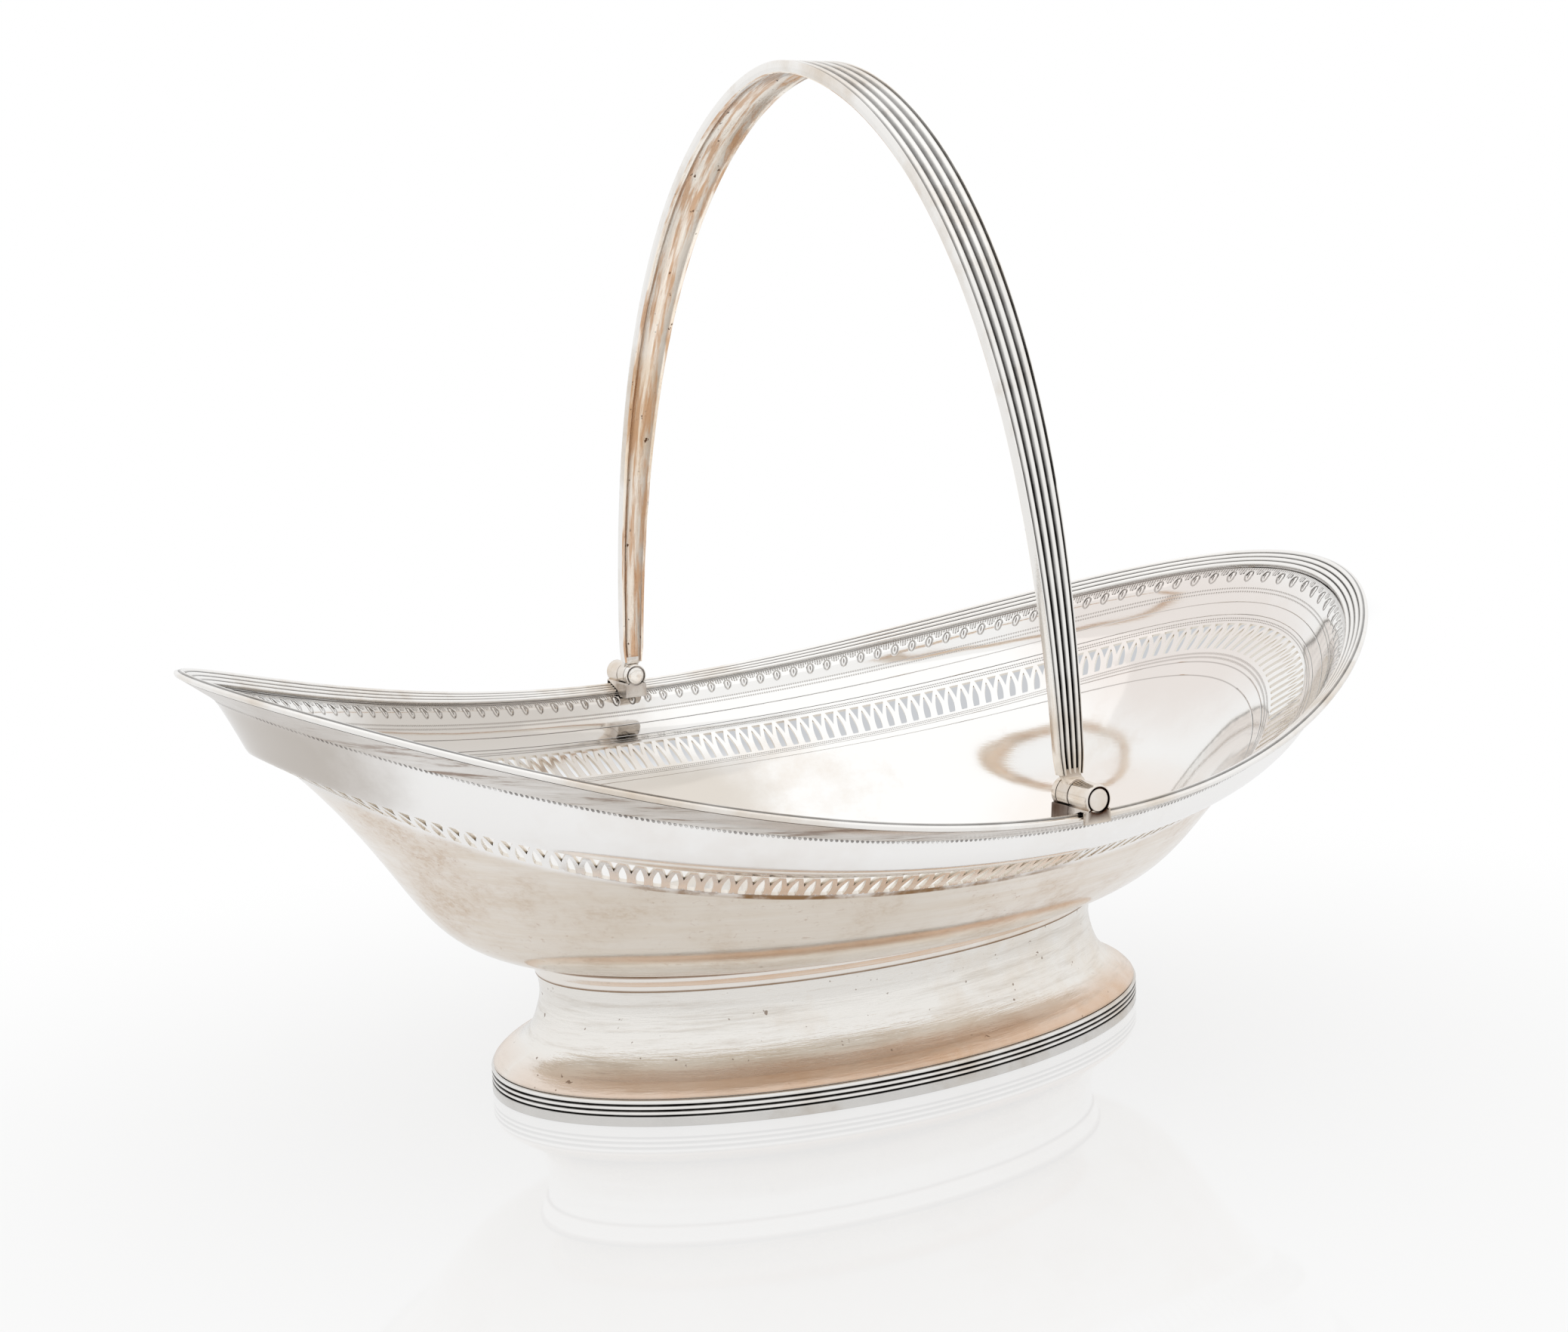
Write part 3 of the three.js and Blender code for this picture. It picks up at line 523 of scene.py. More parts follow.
# Sheet silver of the foot: browner than the bowl towards the base, which is a painted reflection
# of the bowl's underside.
foot_silver = sterling("sterling_foot_streaked_with_painted_reflection", "#F0EDE8", "#E5DACC", 0.45, 0.08, 0.5,
                       oxide_and_shade="#D29A60", worked=worn_foot)
# Strap of the handle: drawn reeds outside, their black grooves partly painted dark reflection, and
# yellow tarnish that no cloth reaches in the hollow inside.
handle_silver = sterling("sterling_drawn_strap", "#F7F5F2", "#D8C9B7", 0.6, 0.07, 0.4, oxide_and_shade="#0E0A08")
hollow_silver = sterling("sterling_strap_hollow_yellowed", "#FFF8EE", "#F6DDBC", 0.5, 0.08, 0.5,
                         oxide_and_shade="#4A3220", worked=yellowed_hollow)
# Cast hinges: pitted, with brown tarnish in the corners and painted shade in the gaps round the
# pin heads.
hinge_silver = sterling("sterling_cast_hinge", "#F8F5F1", "#D8C4AC", 0.6, 0.08, 0.6, oxide_and_shade="#4A2F20")


# The pierced bowl.


def bay_outline():
    """One bay of the band laid flat: the edge with half a spandrel cut in at each side, and the lancet.

    With u the share of the lancet's height, its half width is (half_foot + swell sin(pi u)) times
    (1 - u to the power 2.2) to the power 0.85. A spandrel is a triangle that stands on its tip.
    """
    width, height = PITCH, BAND_FOOT - BAND_TOP
    half_foot, swell = 0.98, 0.2
    foot, apex = 0.05 * height, 0.80 * height
    tip, shoulder, top_half = 0.50 * height, 0.955 * height, 1.5
    u = np.linspace(0, 1, 11)
    half = (half_foot + swell * np.sin(math.pi * u)) * (1 - u ** 2.2) ** 0.85
    right = np.stack([half, foot + (apex - foot) * u], axis=1)
    left = right[::-1][1:] * (-1, 1)
    sill = np.array([(-0.55, foot - 0.22), (0.0, foot - 0.12), (0.55, foot - 0.22)])
    lancet = np.vstack([right, left, sill]) + (width / 2, 0)
    v = np.linspace(0, 1, 5)
    cusp = np.stack([top_half * v ** 1.15, tip + (shoulder - tip) * v], axis=1)
    crown = np.array([(top_half * 0.5, shoulder + 0.06), (0, shoulder + 0.08)])
    notch = np.vstack([cusp, crown])
    low = np.stack([np.zeros(4), np.linspace(0, tip, 5)[:-1]], axis=1)
    left_edge = np.vstack([low, notch, [(0, height)]])
    right_edge = left_edge * (-1, 1) + (width, 0)
    outline = np.vstack([[(width / 2, 0)], right_edge, [(width / 2, height)], left_edge[::-1]])
    return outline, lancet


def inside_loop(points, loop):
    """Whether each point lies inside a closed loop, by counting crossings of a ray."""
    x, y = points[:, 0:1], points[:, 1:2]
    a, b = loop, np.roll(loop, -1, axis=0)
    crosses = (a[:, 1] > y) != (b[:, 1] > y)
    with np.errstate(divide="ignore", invalid="ignore"):
        at = a[:, 0] + (y - a[:, 1]) * (b[:, 0] - a[:, 0]) / (b[:, 1] - a[:, 1])
    return (crosses & (x < at)).sum(axis=1) % 2 == 1


def divide_bay(outline, lancet):
    """Triangles of a bay, with a sprinkle of points inside so that it can follow the bowl's curve."""
    margin, spacing, clearance = 0.45, 1.6, 0.3
    x, y = np.meshgrid(np.linspace(margin, PITCH - margin, 4),
                       np.arange(0.5, BAND_FOOT - BAND_TOP, spacing))
    sprinkle = np.stack([x.ravel(), y.ravel()], axis=1)
    edges = np.vstack([outline, lancet])
    clear = np.linalg.norm(sprinkle[:, None] - edges[None], axis=2).min(axis=1) > clearance
    sprinkle = sprinkle[clear & inside_loop(sprinkle, outline) & ~inside_loop(sprinkle, lancet)]
    points = np.vstack([edges, sprinkle])
    first, second = len(outline), len(lancet)
    borders = [(k, (k + 1) % first) for k in range(first)]
    borders += [(first + k, first + (k + 1) % second) for k in range(second)]
    result = delaunay_2d_cdt([Vector(p) for p in points.tolist()], borders, [], 0, 1e-7)
    flat = np.array([tuple(p) for p in result[0]])
    triangles = np.array(result[2])
    middle = flat[triangles].mean(axis=1)
    keep = inside_loop(middle, outline) & ~inside_loop(middle, lancet)
    triangles = triangles[keep]
    a, b, c = (flat[triangles[:, k]] for k in range(3))
    turn = (b[:, 0] - a[:, 0]) * (c[:, 1] - a[:, 1]) - (b[:, 1] - a[:, 1]) * (c[:, 0] - a[:, 0])
    triangles[turn < 0] = triangles[turn < 0][:, ::-1]
    return flat, triangles


def make_bowl():
    """The whole sheet: a grid above the band, the pierced bays, a grid below it, on both faces.

    All corners are first laid out as (arch number, walk) and merged there, so each face is one
    connected surface. The inner face is the outer one moved in by the sheet, and every open edge of
    the one is joined to the same edge of the other.
    """
    columns = 2 * ARCHES
    number = np.arange(columns) / 2
    pole_gap = 0.6
    above = np.concatenate([np.linspace(0, FLARE_END, 7)[:-1], np.linspace(FLARE_END, BAND_TOP, 12)])
    below = np.concatenate([np.linspace(BAND_FOOT, SEAT, 34)[:-1],
                            np.linspace(SEAT, FLOOR_MIDDLE - pole_gap, 22)])
    flat, bay = divide_bay(*bay_outline())
    first_arch = np.arange(ARCHES)[:, None]
    bay_walk = np.broadcast_to(BAND_FOOT - flat[:, 1], (ARCHES, len(flat)))
    bays = np.stack([flat[:, 0] / PITCH + first_arch, bay_walk], -1)

    def lay(rows):
        return np.stack(np.broadcast_arrays(number[None, :], rows[:, None]), axis=-1).reshape(-1, 2)

    corners = np.vstack([lay(above), lay(below), bays.reshape(-1, 2)])
    start_below = len(above) * columns
    start_bays = start_below + len(below) * columns
    key = np.round(np.stack([np.mod(corners[:, 0] + 1e-6, ARCHES), corners[:, 1]], axis=1), 4)
    _, kept, place = np.unique(key, axis=0, return_index=True, return_inverse=True)
    place = place.ravel()
    quads = np.vstack([grid_quads(len(above), columns), grid_quads(len(below), columns) + start_below])
    quads = place[quads[:, ::-1]]
    starts = start_bays + np.arange(ARCHES) * len(flat)
    triangles = place[(bay[None] + starts[:, None, None]).reshape(-1, 3)]
    pole = len(kept)
    ring = place[start_below + (len(below) - 1) * columns + np.arange(columns)]
    fan = np.stack([ring, np.full(columns, pole), np.roll(ring, -1)], axis=1)
    triangles = np.vstack([triangles, fan])
    layout = np.vstack([corners[kept], [0.0, WALK[-1]]])
    angle = slanted(arch_angle(layout[:, 0]), layout[:, 1])
    outer, inner = in_bowl(angle, layout[:, 1], 0.0), in_bowl(angle, layout[:, 1], SHEET)
    outer[pole] = on_bowl(np.array(0.0), WALK[-1])
    inner[pole] = outer[pole] + (0, 0, SHEET)
    count = len(layout)
    steps = np.vstack([quads[:, [0, 1]], quads[:, [1, 2]], quads[:, [2, 3]], quads[:, [3, 0]],
                       triangles[:, [0, 1]], triangles[:, [1, 2]], triangles[:, [2, 0]]])
    forward = steps[:, 0] * count + steps[:, 1]
    backward = steps[:, 1] * count + steps[:, 0]
    open_edges = steps[~np.isin(forward, backward)]
    tail, head = open_edges.T
    walls = np.stack([head, tail, tail + count, head + count], axis=1)
    faces = [quads, triangles, quads[:, ::-1] + count, triangles[:, ::-1] + count, walls]
    materials = [outside_silver, inside_silver, cut_silver]
    kinds = np.repeat([0, 0, 1, 1, 2], [len(block) for block in faces])
    flat_uv = np.vstack([layout, layout]) / (ARCHES, WALK[-1])
    uv = []
    for block in faces:
        corner = flat_uv[block % (2 * count)]
        wrapped = corner[..., 0] < corner[..., 0].max(axis=1, keepdims=True) - 0.5
        corner[..., 0] += wrapped
        uv.append(corner.reshape(-1, 2))
    make_piece("bowl_sheet", np.vstack([outer, inner]), faces, materials,
               replaces=["bowl"], crease=50, face_materials=kinds, uv=np.vstack(uv))


make_bowl()


# Hoops that run round the bowl or the foot.


def hoop(rings):
    """A closed ring-shaped skin over rings of points, given from the outside downwards and inwards."""
    rings = np.asarray(rings)
    rows, columns = rings.shape[:2]
    return rings.reshape(-1, 3), [grid_quads(rows, columns, close_rows=True)[:, ::-1]]


def capped(rings):
    """A closed skin over rings of points, with a flat cap on the first and the last ring."""
    rows, columns = rings.shape[:2]
    first, last = np.arange(columns), np.arange(columns) + (rows - 1) * columns
    return rings.reshape(-1, 3), [grid_quads(rows, columns)[:, ::-1], [first], [last[::-1]]]


def reeded_profile(start, end, count, crest, depth, fullness=0.5, steps=10, oxide_and_shade=(2.6, 0.5)):
    """Reeds side by side: height is crest less depth times (1 - sine to the power fullness).

    Returns places across, heights and the dark there: the depth below the crests as a share, times
    the first of the last argument, less the second. Oxide makes part of that dark, and part is
    painted dark reflection.
    """
    u = np.linspace(0, count, count * steps + 1)
    swell = np.abs(np.sin(math.pi * u)) ** fullness
    across = start + (end - start) * u / count
    return across, crest - depth * (1 - swell), np.clip(oxide_and_shade[0] * (1 - swell) - oxide_and_shade[1], 0, 1)


def make_rim():
    """Reeded wire on the flare's inner face that turns round the lip into a bead outside.

    The profile is (walk from the lip, height over the sheet's inner face). Past the lip it goes on
    along the flare's own direction.
    """
    angle = arch_angle(np.arange(2 * ARCHES) / 2)
    # The black in the grooves is partly oxide and partly painted dark reflection.
    along, up, dark = reeded_profile(REED_TOP, REED_FOOT, 4, 1.25, 0.75)
    dark *= 0.8
    dark[-4:] *= 0.5
    turn = np.linspace(0, 1, 10)[1:]
    bead_along = REED_TOP - 0.75 * np.sin(turn * math.pi * 0.95)
    bead_up = 0.5 - 1.45 * turn
    along = np.concatenate([along[::-1], bead_along, [-FILM, -FILM, REED_FOOT]])
    up = np.concatenate([up[::-1], bead_up, [-SHEET, FILM, FILM]])
    dark = np.concatenate([dark[::-1], np.zeros(len(along) - len(dark))])
    down = lip_direction(angle)
    rings = [in_bowl(angle, max(a, 0.0), SHEET + u) + min(a, 0.0) * down for a, u in zip(along, up)]
    points, faces = hoop(rings)
    make_piece("rim_reeds", points, faces, [reeded_silver],
               replaces=["rim_moulding"], crease=60, tarnish_and_shade_share=np.repeat(dark, len(angle)))


def lip_direction(angle):
    """The unit direction down the flare at the lip."""
    step = on_bowl(angle, 1.0) - on_bowl(angle, 0.0)
    return step / np.linalg.norm(step, axis=-1, keepdims=True)


def oval_angles():
    return np.arange(OVAL_POINTS) / OVAL_POINTS * TURN


def oval(inset, height):
    """The foot's oval with both half axes shortened by inset, at a height."""
    angle = oval_angles()
    a, b = FOOT_HALF[0] - inset, FOOT_HALF[1] - inset
    return np.stack([a * np.cos(angle), b * np.sin(angle), np.full(OVAL_POINTS, height)], axis=-1)


def round_profile(points, steps=8):
    """A Catmull-Rom curve through the points, with its ends carried on straight."""
    p = np.asarray(points, float)
    p = np.vstack([2 * p[0] - p[1], p, 2 * p[-1] - p[-2]])
    t = np.linspace(0, 1, steps, endpoint=False)[:, None]
    parts = []
    for a, b, c, d in zip(p, p[1:], p[2:], p[3:]):
        m, n = (c - a) / 2, (d - b) / 2
        parts.append((2 * t ** 3 - 3 * t ** 2 + 1) * b + (t ** 3 - 2 * t ** 2 + t) * m
                     + (3 * t ** 2 - 2 * t ** 3) * c + (t ** 3 - t ** 2) * n)
    return np.vstack(parts + [p[-2:-1]])


def make_foot():
    """The hollow foot and its ring: profiles of (inset, height) turned into ovals, outside down first.

    The skirt's brown is a painted reflection of the bowl's underside. It is strongest at the long
    sides, by a power of the sine of the angle.
    """
    base, top = 7.7, 32.8
    outer = round_profile([(14.2, top), (14.7, 27.3), (13.6, 22.0), (11.6, 17.2), (8.6, 13.8), (5.6, 11.9),
                           (3.6, 10.9), (1.9, 9.6), (0.8, 8.4), (0.6, base)])
    inner = round_profile([(2.2, base), (4.5, 10.2), (9.4, 13.4), (12.5, 17.4), (14.6, 22.0),
                           (15.6, 27.3), (15.2, top)])
    # Painted reflection of the bowl's underside: brown low on the skirt, gone by 14.5 mm up.
    brown = np.interp(outer[:, 1], [base, 11.0, 14.5], [0.62, 0.5, 0.0])
    dark = np.concatenate([brown, np.zeros(len(inner))])
    sides = 0.15 + 0.85 * np.abs(np.sin(oval_angles())) ** 0.6
    points, faces = hoop([oval(*p) for p in np.vstack([outer, inner])])
    make_piece("foot_spread", points, faces, [foot_silver], replaces=["foot_pedestal"],
               crease=50, tarnish_and_shade_share=np.outer(dark, sides).ravel())
    height, sunk, dark = reeded_profile(RING_HEIGHT, 3.0, 3, 0.0, 0.55, oxide_and_shade=(4.8, 0.3))
    dark[:4] *= 0.25
    fillet = [(0.1, 2.85), (0.0, 2.6), (0.0, 0.35), (0.12, 0.1), (0.4, 0.0)]
    section = np.vstack([np.stack([-sunk, height], axis=1), fillet, [(1.9, 0.0), (1.9, RING_HEIGHT)]])
    dark = np.concatenate([dark, [0.9, 0.2, 0.22, 0.3, 0.5, 0, 0]])
    points, faces = hoop([oval(*p) for p in section])
    make_piece("foot_ring_reeds", points, faces, [reeded_silver],
               replaces=["foot_base_moulding"], crease=40, tarnish_and_shade_share=np.repeat(dark, OVAL_POINTS))


def make_collar():
    """The flange soldered between bowl and foot: its top follows the sheet, its lip stands proud."""
    base = 33.1
    under = [on_bowl(oval_angles(), SEAT + walk) - (0, 0, FILM) for walk in (7.0, 4.0, 1.5, 0.0)]
    lip = round_profile([(12.3, 37.3), (12.4, 36.6), (12.9, 35.6), (13.5, 34.4), (13.7, base)], 5)
    rings = under + [oval(*p) for p in lip] + [oval(16.0, base)]
    dark = np.zeros(len(rings))
    dark[3:6] = (0.9, 0.6, 0.1)
    dark[-4:-1] = (0.1, 0.8, 1.0)
    points, faces = hoop(rings)
    make_piece("foot_collar_flange", points, faces, [collar_silver],
               replaces=["foot_collar"], crease=40, tarnish_and_shade_share=np.repeat(dark, OVAL_POINTS))


make_rim()
make_foot()
make_collar()


# The swing handle.


def bow_curve(count):
    """The bow's middle line in Y and Z from the far knuckle over the crown to the near one.

    Also its directions there, the share of the way up to the crown, and the length up to there. Each
    half is a cubic Bezier curve.
    """
    foot = np.array([HINGE_Y - LEG_OFFSET, HINGE_Z + LEG_START])
    control = np.array([foot, foot + (-7.9, 145.0), (33.5, APEX_Z), (0.0, APEX_Z)])
    t = np.linspace(0, 1, 2001)[:, None]
    half = ((1 - t) ** 3 * control[0] + 3 * (1 - t) ** 2 * t * control[1]
            + 3 * (1 - t) * t ** 2 * control[2] + t ** 3 * control[3])
    whole = np.vstack([half, half[-2::-1] * (-1, 1)])
    length = np.concatenate([[0], np.cumsum(np.linalg.norm(np.diff(whole, axis=0), axis=1))])
    at = np.linspace(0, length[-1], count)
    y, z = np.interp(at, length, whole[:, 0]), np.interp(at, length, whole[:, 1])
    dy, dz = np.gradient(y), np.gradient(z)
    size = np.hypot(dy, dz)
    share = 1 - np.abs(at / length[-1] * 2 - 1)
    return y, z, dy / size, dz / size, share, at


def make_bow():
    """A drawn strap carried along the bow: four reeds between plain margins outside, a hollow inside.

    The section is (share of the half width, depth under the reeds' crests). The strap draws in by 15
    per cent over its last 6 mm, and the black in the grooves thins out towards the crown. Oxide
    makes part of that black, and part is painted dark reflection.
    """
    y, z, dy, dz, share, at = bow_curve(241)
    half_width = (LEG_WIDTH + (CROWN_WIDTH - LEG_WIDTH) * share) / 2
    from_end = np.minimum(at, at[-1] - at)
    half_width *= 1 - 0.15 * np.clip(1 - from_end / 6.0, 0, 1) ** 1.5
    u, height, dark = reeded_profile(-0.92, 0.92, 4, 0.0, 1.0, 0.7, oxide_and_shade=(3.6, 0.4))
    margin = np.array([(-1, 0.45), (-0.99, 0.15), (-0.97, 0.0), (-0.94, 0.1)])
    outside = np.vstack([margin, np.stack([u, -height], axis=1), margin[::-1] * (-1, 1)])
    dark = np.concatenate([np.zeros(4), dark, np.zeros(4)])
    inside = np.array([(1, 3.1), (0.97, 3.4), (0.82, 3.4), (0.76, 3.15), (0.6, 2.1), (0.3, 1.75), (0, 1.65),
                       (-0.3, 1.75), (-0.6, 2.1), (-0.76, 3.15), (-0.82, 3.4), (-0.97, 3.4), (-1, 3.1)])
    section = np.vstack([outside, inside])
    dark = np.concatenate([dark, [0, 0, 0, 0.5, 0.45, 0.12, 0.05, 0.12, 0.45, 0.5, 0, 0, 0]])
    x = section[:, 0][None, :] * half_width[:, None]
    out = 1.7 - section[:, 1][None, :]
    rings = np.stack([x, y[:, None] + dz[:, None] * out, z[:, None] - dy[:, None] * out], axis=-1)
    points, faces = capped(rings)
    rows, columns = rings.shape[:2]
    hollow = (np.arange(columns) >= len(outside)) & (np.arange(columns) < columns - 1)
    kinds = np.concatenate([np.tile(hollow, rows - 1), [0, 0]])
    # The black in the grooves is partly painted dark reflection, and less of it towards the crown.
    make_piece("handle_strap", points, faces, [handle_silver, hollow_silver], body="handle",
               replaces=["handle_bow"], crease=50, face_materials=kinds,
               tarnish_and_shade_share=np.outer(1 - 0.4 * share, dark).ravel())


make_bow()


# The hinges. Each shell is (points, faces, share of dark), drawn at the far side and mirrored for
# the near one. The dark is oxide, and painted shade in the pins' seats.


def turned(profile, dark):
    """A closed skin turned round the hinge line from a closed profile, and the dark at its corners.

    The profile is (place along Y, radius), given from the far end on its outside.
    """
    count = 48
    angle = np.arange(count) / count * TURN
    rings = [np.stack([r * np.sin(angle), np.full(count, y), HINGE_Z + r * np.cos(angle)], axis=-1)
             for y, r in profile]
    points, faces = hoop(rings)
    return points, faces, np.repeat(dark, count)


def block_outline(kind, low, shrink):
    """The bracket's section across Y: its foot at the height low, its sides, and its top.

    The sides lean out towards the foot. The top is the ear's circle, which meets the block in a small
    fillet, or a trough that leaves room for the turning barrel. shrink pulls the outline in.
    """
    drop, foot_half, trough_radius = 2.3, 4.0, 4.15
    shoulder = HINGE_Z - drop
    if kind == "ear":
        reach = math.pi - math.acos(drop / BARREL_RADIUS)
        turn = np.linspace(reach, -reach, 41)
        crown = np.stack([BARREL_RADIUS * np.sin(turn), HINGE_Z + BARREL_RADIUS * np.cos(turn)], axis=1)
    else:
        x = np.linspace(3.0, -3.0, 41)
        crown = np.stack([x, HINGE_Z - np.sqrt(trough_radius ** 2 - x ** 2)], axis=1)
    lean = np.linspace(0, 1, 10)[:, None]
    side = (1 - lean) * (foot_half, low) + lean * (3.7, shoulder - 0.25)
    right = np.vstack([side, [(3.62, shoulder - 0.08), (3.45, shoulder)]])
    left = right[::-1] * (-1, 1)
    floor = np.stack([np.linspace(-foot_half, foot_half, 9)[1:-1], np.full(7, low)], axis=1)
    outline = np.vstack([right, crown, left, floor])
    middle = np.array([0.0, (low + shoulder) / 2])
    size = np.array([foot_half, max(shoulder - low, 0.1) / 2])
    pull = np.clip((outline - middle) / size, -1, 1)
    if kind == "ear":
        high = outline[:, 1] > shoulder + 0.01
        pull[high] = (outline[high] - (0, HINGE_Z)) / BARREL_RADIUS
    return outline - pull * shrink


def block_shell():
    """The bracket: an ear, the block under the barrel and the long outer ear, with the pin's seats.

    Sections follow each other along Y. The foot of each follows the flare and then the reeds, and
    hangs down as an apron outside the bead. Oxide sits low on the block, most of it on its sides and
    towards the bowl. The pin's seats are painted dark as shade in the gap round each pin head.
    """
    inner, outer = HINGE_Y - BRACKET_HALF, HINGE_Y + BRACKET_HALF
    inner_end, outer_start = inner + INNER_EAR, outer - OUTER_EAR
    soft = 0.4
    sections = [("ear", inner, soft), ("ear", inner + 0.15, 0.12), ("ear", inner + soft, 0.0),
                ("ear", inner_end - 0.15, 0.0), ("ear", inner_end, 0.12), ("trough", inner_end + 0.02, 0.0),
                ("trough", 120.8, 0.0), ("trough", 122.2, 0.0), ("trough", 122.5, 0.0),
                ("trough", outer_start - 0.02, 0.0), ("ear", outer_start, 0.12),
                ("ear", outer_start + 0.15, 0.0), ("ear", 126.4, 0.0), ("ear", 128.8, 0.0),
                ("ear", 129.9, 0.0), ("ear", 129.95, 0.0),
                ("ear", outer - soft, 0.0), ("ear", outer - 0.15, 0.12), ("ear", outer, soft)]
    foot_y = [inner, 120.9, 122.3, 122.4, 128.75, 129.92, 129.94, outer]
    foot_z = [86.1, 86.1, 86.7, 88.0, 90.55, 90.55, 87.4, 87.4]
    outlines = [block_outline(kind, np.interp(y, foot_y, foot_z), shrink) for kind, y, shrink in sections]
    places = [section[1] for section in sections]
    turn = np.arctan2(outlines[-1][:, 0], outlines[-1][:, 1] - HINGE_Z)
    circle = np.stack([np.sin(turn), np.cos(turn)], axis=1)
    seat = [circle * radius + (0, HINGE_Z) for radius in (3.35, 3.3, 0.3)]
    outlines = seat[::-1] + outlines + seat
    seat_depth = 1.1
    places = [inner + seat_depth] * 2 + [inner] + places + [outer] + [outer - seat_depth] * 2
    rings = np.stack([np.insert(outline, 1, place, axis=1) for outline, place in zip(outlines, places)])
    dark = np.interp(rings[..., 2], [86.0, 88.5, 90.8, 93.0], [0.75, 0.85, 0.9, 0.0])
    dark *= np.interp(np.abs(rings[..., 0]), [2.0, 3.4], [0.6, 1.0])
    dark *= np.interp(rings[..., 1], [124.5, 126.0], [1.0, 0.25])
    # The pin's seats are painted dark as shade in the gap round each pin head.
    dark[[0, 1, 2, -3, -2, -1]] = 1.0
    return *capped(rings), dark.ravel()


def pin_shell():
    """The pin: a shank with a flat domed head in each ear, drawn as (past the bracket's end, radius)."""
    dome = [(-1.0, 1.7), (-1.0, 2.8), (-0.3, 2.88), (-0.1, 2.78), (0.02, 2.5), (0.12, 1.6), (0.15, 0.02)]
    near_head = [(HINGE_Y - BRACKET_HALF - past, radius) for past, radius in dome]
    far_head = [(HINGE_Y + BRACKET_HALF + past, radius) for past, radius in dome[::-1]]
    # The head's side down in its seat is painted dark as shade in the gap.
    dark = [0.0, 1.0, 1.0, 0.3, 0.0, 0.0, 0.0]
    return turned(near_head + far_head, dark + dark[::-1])


def saddle_shell():
    """The neck that carries the strap: it spreads outwards over the barrel, down to its end.

    At each height over the hinge line it is a rounded box with the given half width in X, and with its
    inner and outer faces at the given distances from those of the strap.
    """
    height = np.array([2.4, 3.3, 3.75, 4.05, 4.5, 5.2, 6.2])
    half_x = np.array([2.7, 2.75, 2.75, 2.75, 2.85, 3.0, 3.0])
    half_strap, count, squareness = 1.6, 32, 0.6
    inside = HINGE_Y - LEG_OFFSET - half_strap + np.array([1.2, 1.1, 0.7, 0.3, 0.1, 0.1, 0.2])
    outside = HINGE_Y - LEG_OFFSET + half_strap + np.array([2.1, 2.1, 1.6, 0.9, 0.3, 0.0, -0.3])
    angle = -np.arange(count) / count * TURN
    c, s = (np.sign(v) * np.abs(v) ** squareness for v in (np.cos(angle), np.sin(angle)))
    middle, half_y = (inside + outside) / 2, (outside - inside) / 2
    rings = np.stack([half_x[:, None] * c, middle[:, None] + half_y[:, None] * s,
                      np.broadcast_to(HINGE_Z + height[:, None], (len(height), count))], axis=-1)
    dark = np.repeat(np.interp(height, [3.0, 3.9, 4.6, 6.2], [0.0, 0.1, 0.35, 0.5]), count)
    return *capped(rings), dark


def barrel_shell():
    """The knuckle's barrel with softened ends."""
    start, end = HINGE_Y - BRACKET_HALF + INNER_EAR + FILM, HINGE_Y + BRACKET_HALF - OUTER_EAR - FILM
    bore, r, soft = 2.0, BARREL_RADIUS, 0.15
    profile = [(end, bore), (end, r - soft), (end - soft, r),
               (start + soft, r), (start, r - soft), (start, bore)]
    points, faces, dark = turned(profile, [1.0, 0.9, 0.1, 0.1, 0.9, 1.0])
    return points, faces, np.maximum(dark, np.interp(points[:, 2], [90.0, 92.2], [0.9, 0.0]))


def make_hinges():
    """Both hinges. The near one is the far one mirrored, and darker all over."""
    bracket = join_shells([block_shell()])
    knuckle = join_shells([barrel_shell(), saddle_shell()])
    pin = join_shells([pin_shell()])
    for side, mirror, darkness in (("far", 1, 0.4), ("near", -1, 1.0)):
        for name, shell, body, slot, node in (
                ("hinge_block_" + side, bracket, "basket", "hinge_silver", "hinge_bracket_" + side),
                ("hinge_barrel_" + side, knuckle, "handle", "hinge_silver", "handle_knuckle_" + side),
                ("hinge_pin_head_" + side, pin, "basket", "pin_silver", "hinge_pin_" + side)):
            points, faces, dark = shell
            make_piece(name, points * (1, mirror, 1), [block[:, ::mirror] for block in faces],
                       [hinge_silver], body=body, replaces=[node], tarnish_and_shade_share=darkness * dark)


make_hinges()


# The table, the light and the camera.


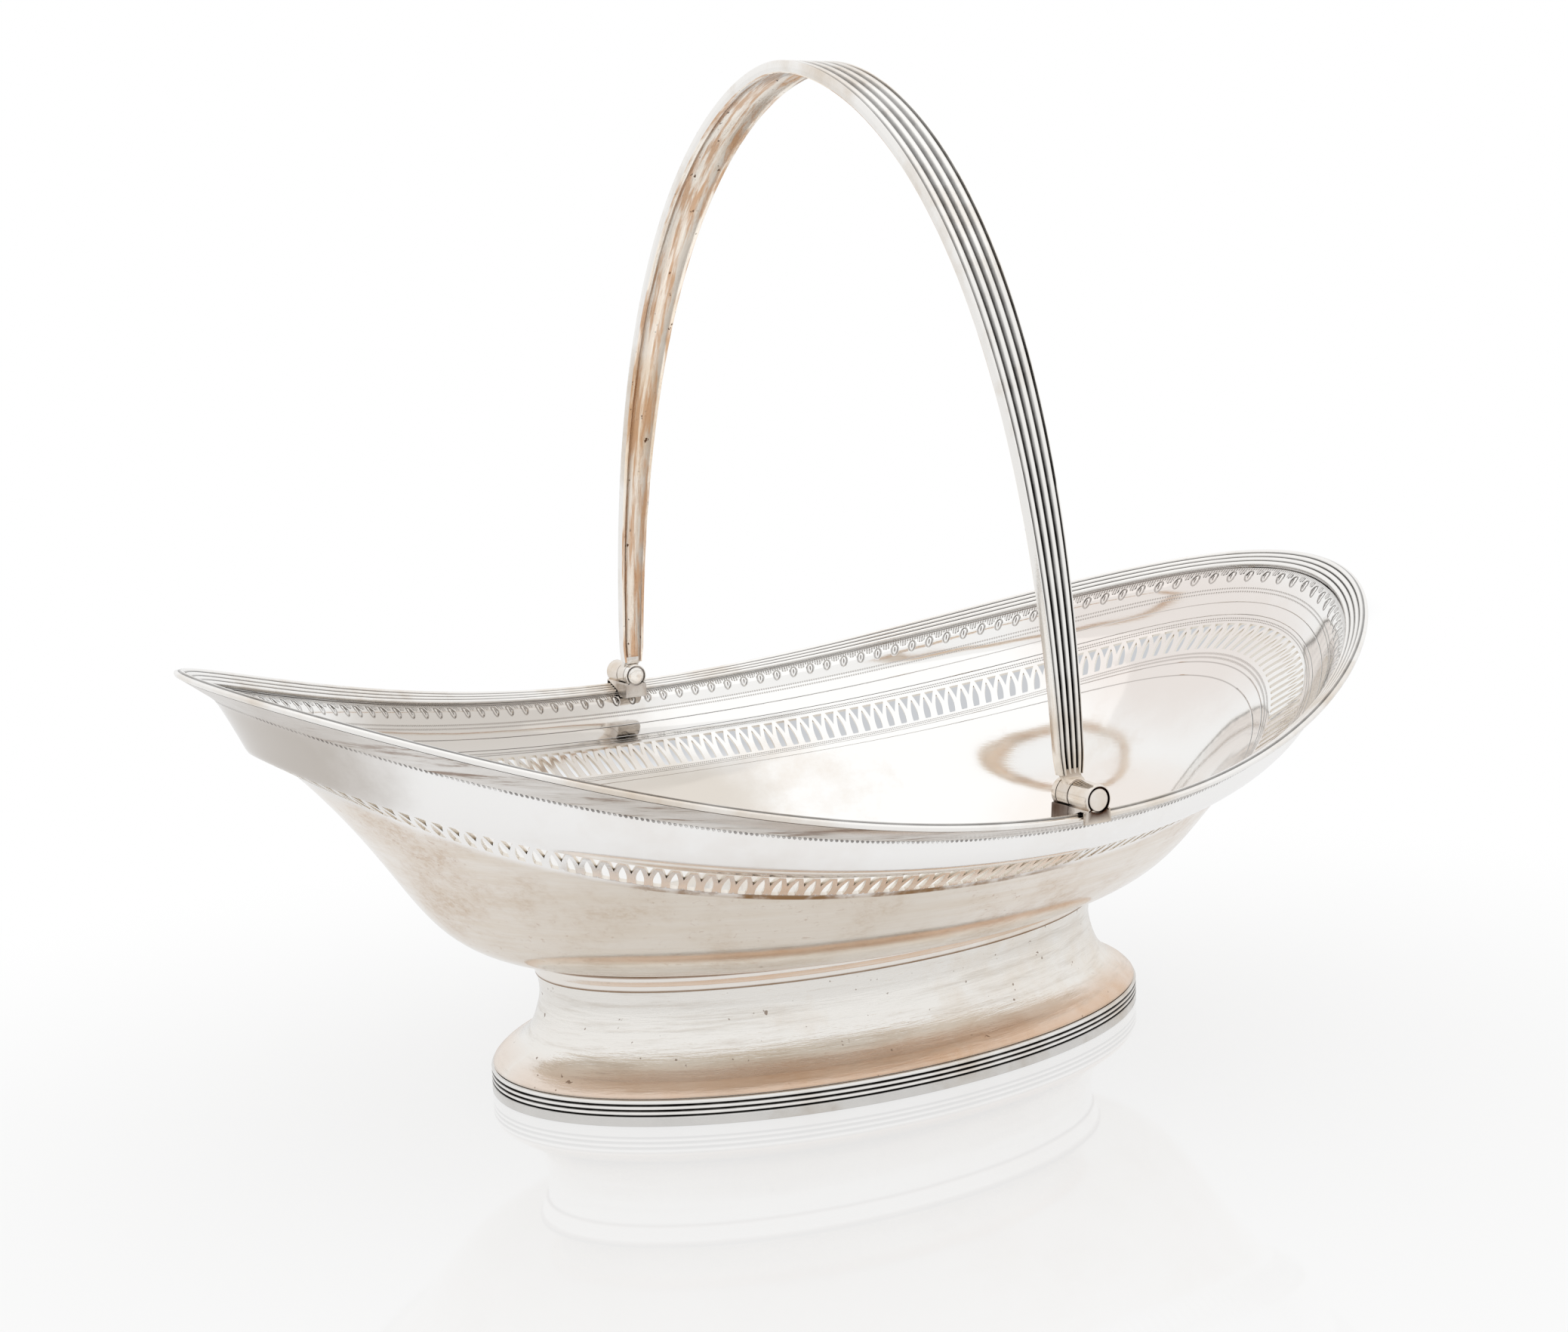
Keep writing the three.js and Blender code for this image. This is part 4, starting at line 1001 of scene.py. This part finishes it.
def make_floor():
    """A white table: part of it glows for the camera and for silver, so that its shade stays pale.

    The glow grows with distance until the table is as white as the room. A cool grey pool of painted
    shade lies on the table behind the basket. The table is glossy enough to mirror the foot.
    """
    half = 6
    mesh = bpy.data.meshes.new("table")
    corners = [(-half, -half, 0), (half, -half, 0), (half, half, 0), (-half, half, 0)]
    mesh.from_pydata(corners, [], [(0, 1, 2, 3)])
    material, tree = new_material("white_acrylic_table")
    place = add(tree, "TexCoord", output="Object")

    def spot(middle, size, core, turn=0.0):
        """One in the core of an oval on the table, falling to nought at its edge. turn is in degrees."""
        moved = add(tree, "Mapping", place, Location=(*middle, 0.0), Scale=(*size, 1.0),
                    Rotation=(0.0, 0.0, math.radians(turn)), vector_type="TEXTURE")
        round_it = add(tree, "TexGradient", moved, gradient_type="SPHERICAL", output=1)
        return add(tree, "MapRange", round_it, 0.0, core, **SMOOTH)

    # A painted pool of cool grey shade on the table behind the basket.
    pool = spot((0.414, 0.512), (0.4, 0.138), 0.4, 16.5)
    close = spot((-0.05, -0.08), (0.42, 0.38), 0.8)
    for_camera = add(tree, "LightPath", output="Is Camera Ray")
    for_silver = add(tree, "LightPath", output="Is Glossy Ray")
    seen = add(tree, "Math", add(tree, "MapRange", close, 0.0, 1.0, 1.0, 0.78), for_camera, **TIMES)
    share = add(tree, "Math", seen, add(tree, "Math", for_silver, 0.8, **TIMES), operation="MAXIMUM")
    lit = add(tree, "BsdfDiffuse", tinted(tree, "#F4F4F3", "#BFC1C4", pool))
    glow = add(tree, "Math", 1.0, add(tree, "Math", for_silver, 0.1, **TIMES), **LESS)
    white = add(tree, "Emission", tinted(tree, "#FFFFFF", "#CCCED1", pool), glow)
    matte = add(tree, "MixShader", share, lit, white)
    mirrored = add(tree, "Math", add(tree, "Fresnel", IOR=1.4), close, **TIMES)
    shader = add(tree, "MixShader", mirrored, matte, add(tree, "BsdfGlossy", Roughness=0.04))
    add(tree, "OutputMaterial", shader)
    mesh.materials.append(material)
    floor = bpy.data.objects.new("table", mesh)
    bpy.context.scene.collection.objects.link(floor)


def make_world():
    """A white room. Silver sees it a little greyer, most of all near the horizon."""
    world = bpy.data.worlds.new("studio_room")
    bpy.context.scene.world = world
    world.use_nodes = True
    tree = world.node_tree
    tree.nodes.clear()
    height = add(tree, "SeparateXYZ", add(tree, "TexCoord", output="Generated"), output="Z")
    in_silver = add(tree, "MapRange", height, 0.0, 0.7, 0.93, 0.97)
    strength = add(tree, "Mix", add(tree, "LightPath", output="Is Glossy Ray"), 0.9, in_silver)
    for_camera = add(tree, "LightPath", output="Is Camera Ray")
    strength = add(tree, "Math", strength, for_camera, operation="MAXIMUM")
    add(tree, "OutputWorld", add(tree, "Background", "#FFFFFF", strength))


def make_lamp(name, place, target, size, power):
    """A rectangular soft box of size metres, aimed at target, with its power in watts."""
    lamp = bpy.data.lights.new(name, "AREA")
    lamp.shape = "RECTANGLE"
    lamp.size, lamp.size_y = size
    lamp.energy = power
    holder = bpy.data.objects.new(name, lamp)
    holder.location = place
    holder.rotation_euler = (Vector(target) - Vector(place)).to_track_quat("-Z", "Y").to_euler()
    bpy.context.scene.collection.objects.link(holder)


def make_camera():
    """The photograph's camera, fitted to the basket's outlines."""
    place, degrees, focal_length = (-0.35135, -0.58292, 0.21992), (-30.28, 9.096, -2.0), 54.68
    camera = bpy.data.cameras.new("camera")
    camera.sensor_width = 36
    camera.lens = focal_length
    camera.clip_start = 0.05
    yaw, pitch, roll = (math.radians(v) for v in degrees)
    back = Vector((math.sin(yaw) * math.cos(pitch), -math.cos(yaw) * math.cos(pitch), math.sin(pitch)))
    right = Vector((0, 0, 1)).cross(back).normalized()
    up = back.cross(right)
    right_rolled = math.cos(roll) * right + math.sin(roll) * up
    up_rolled = math.cos(roll) * up - math.sin(roll) * right
    holder = bpy.data.objects.new("camera", camera)
    turn = Matrix((right_rolled, up_rolled, back)).transposed().to_4x4()
    holder.matrix_world = Matrix.Translation(place) @ turn
    bpy.context.scene.collection.objects.link(holder)
    bpy.context.scene.camera = holder


make_floor()
make_world()
make_lamp("lamp_above", (0.2, 0.1, 1.8), (0, 0, 0.1), (2.2, 2.2), 1.9)
make_camera()

bpy.context.scene.view_settings.view_transform = "Standard"
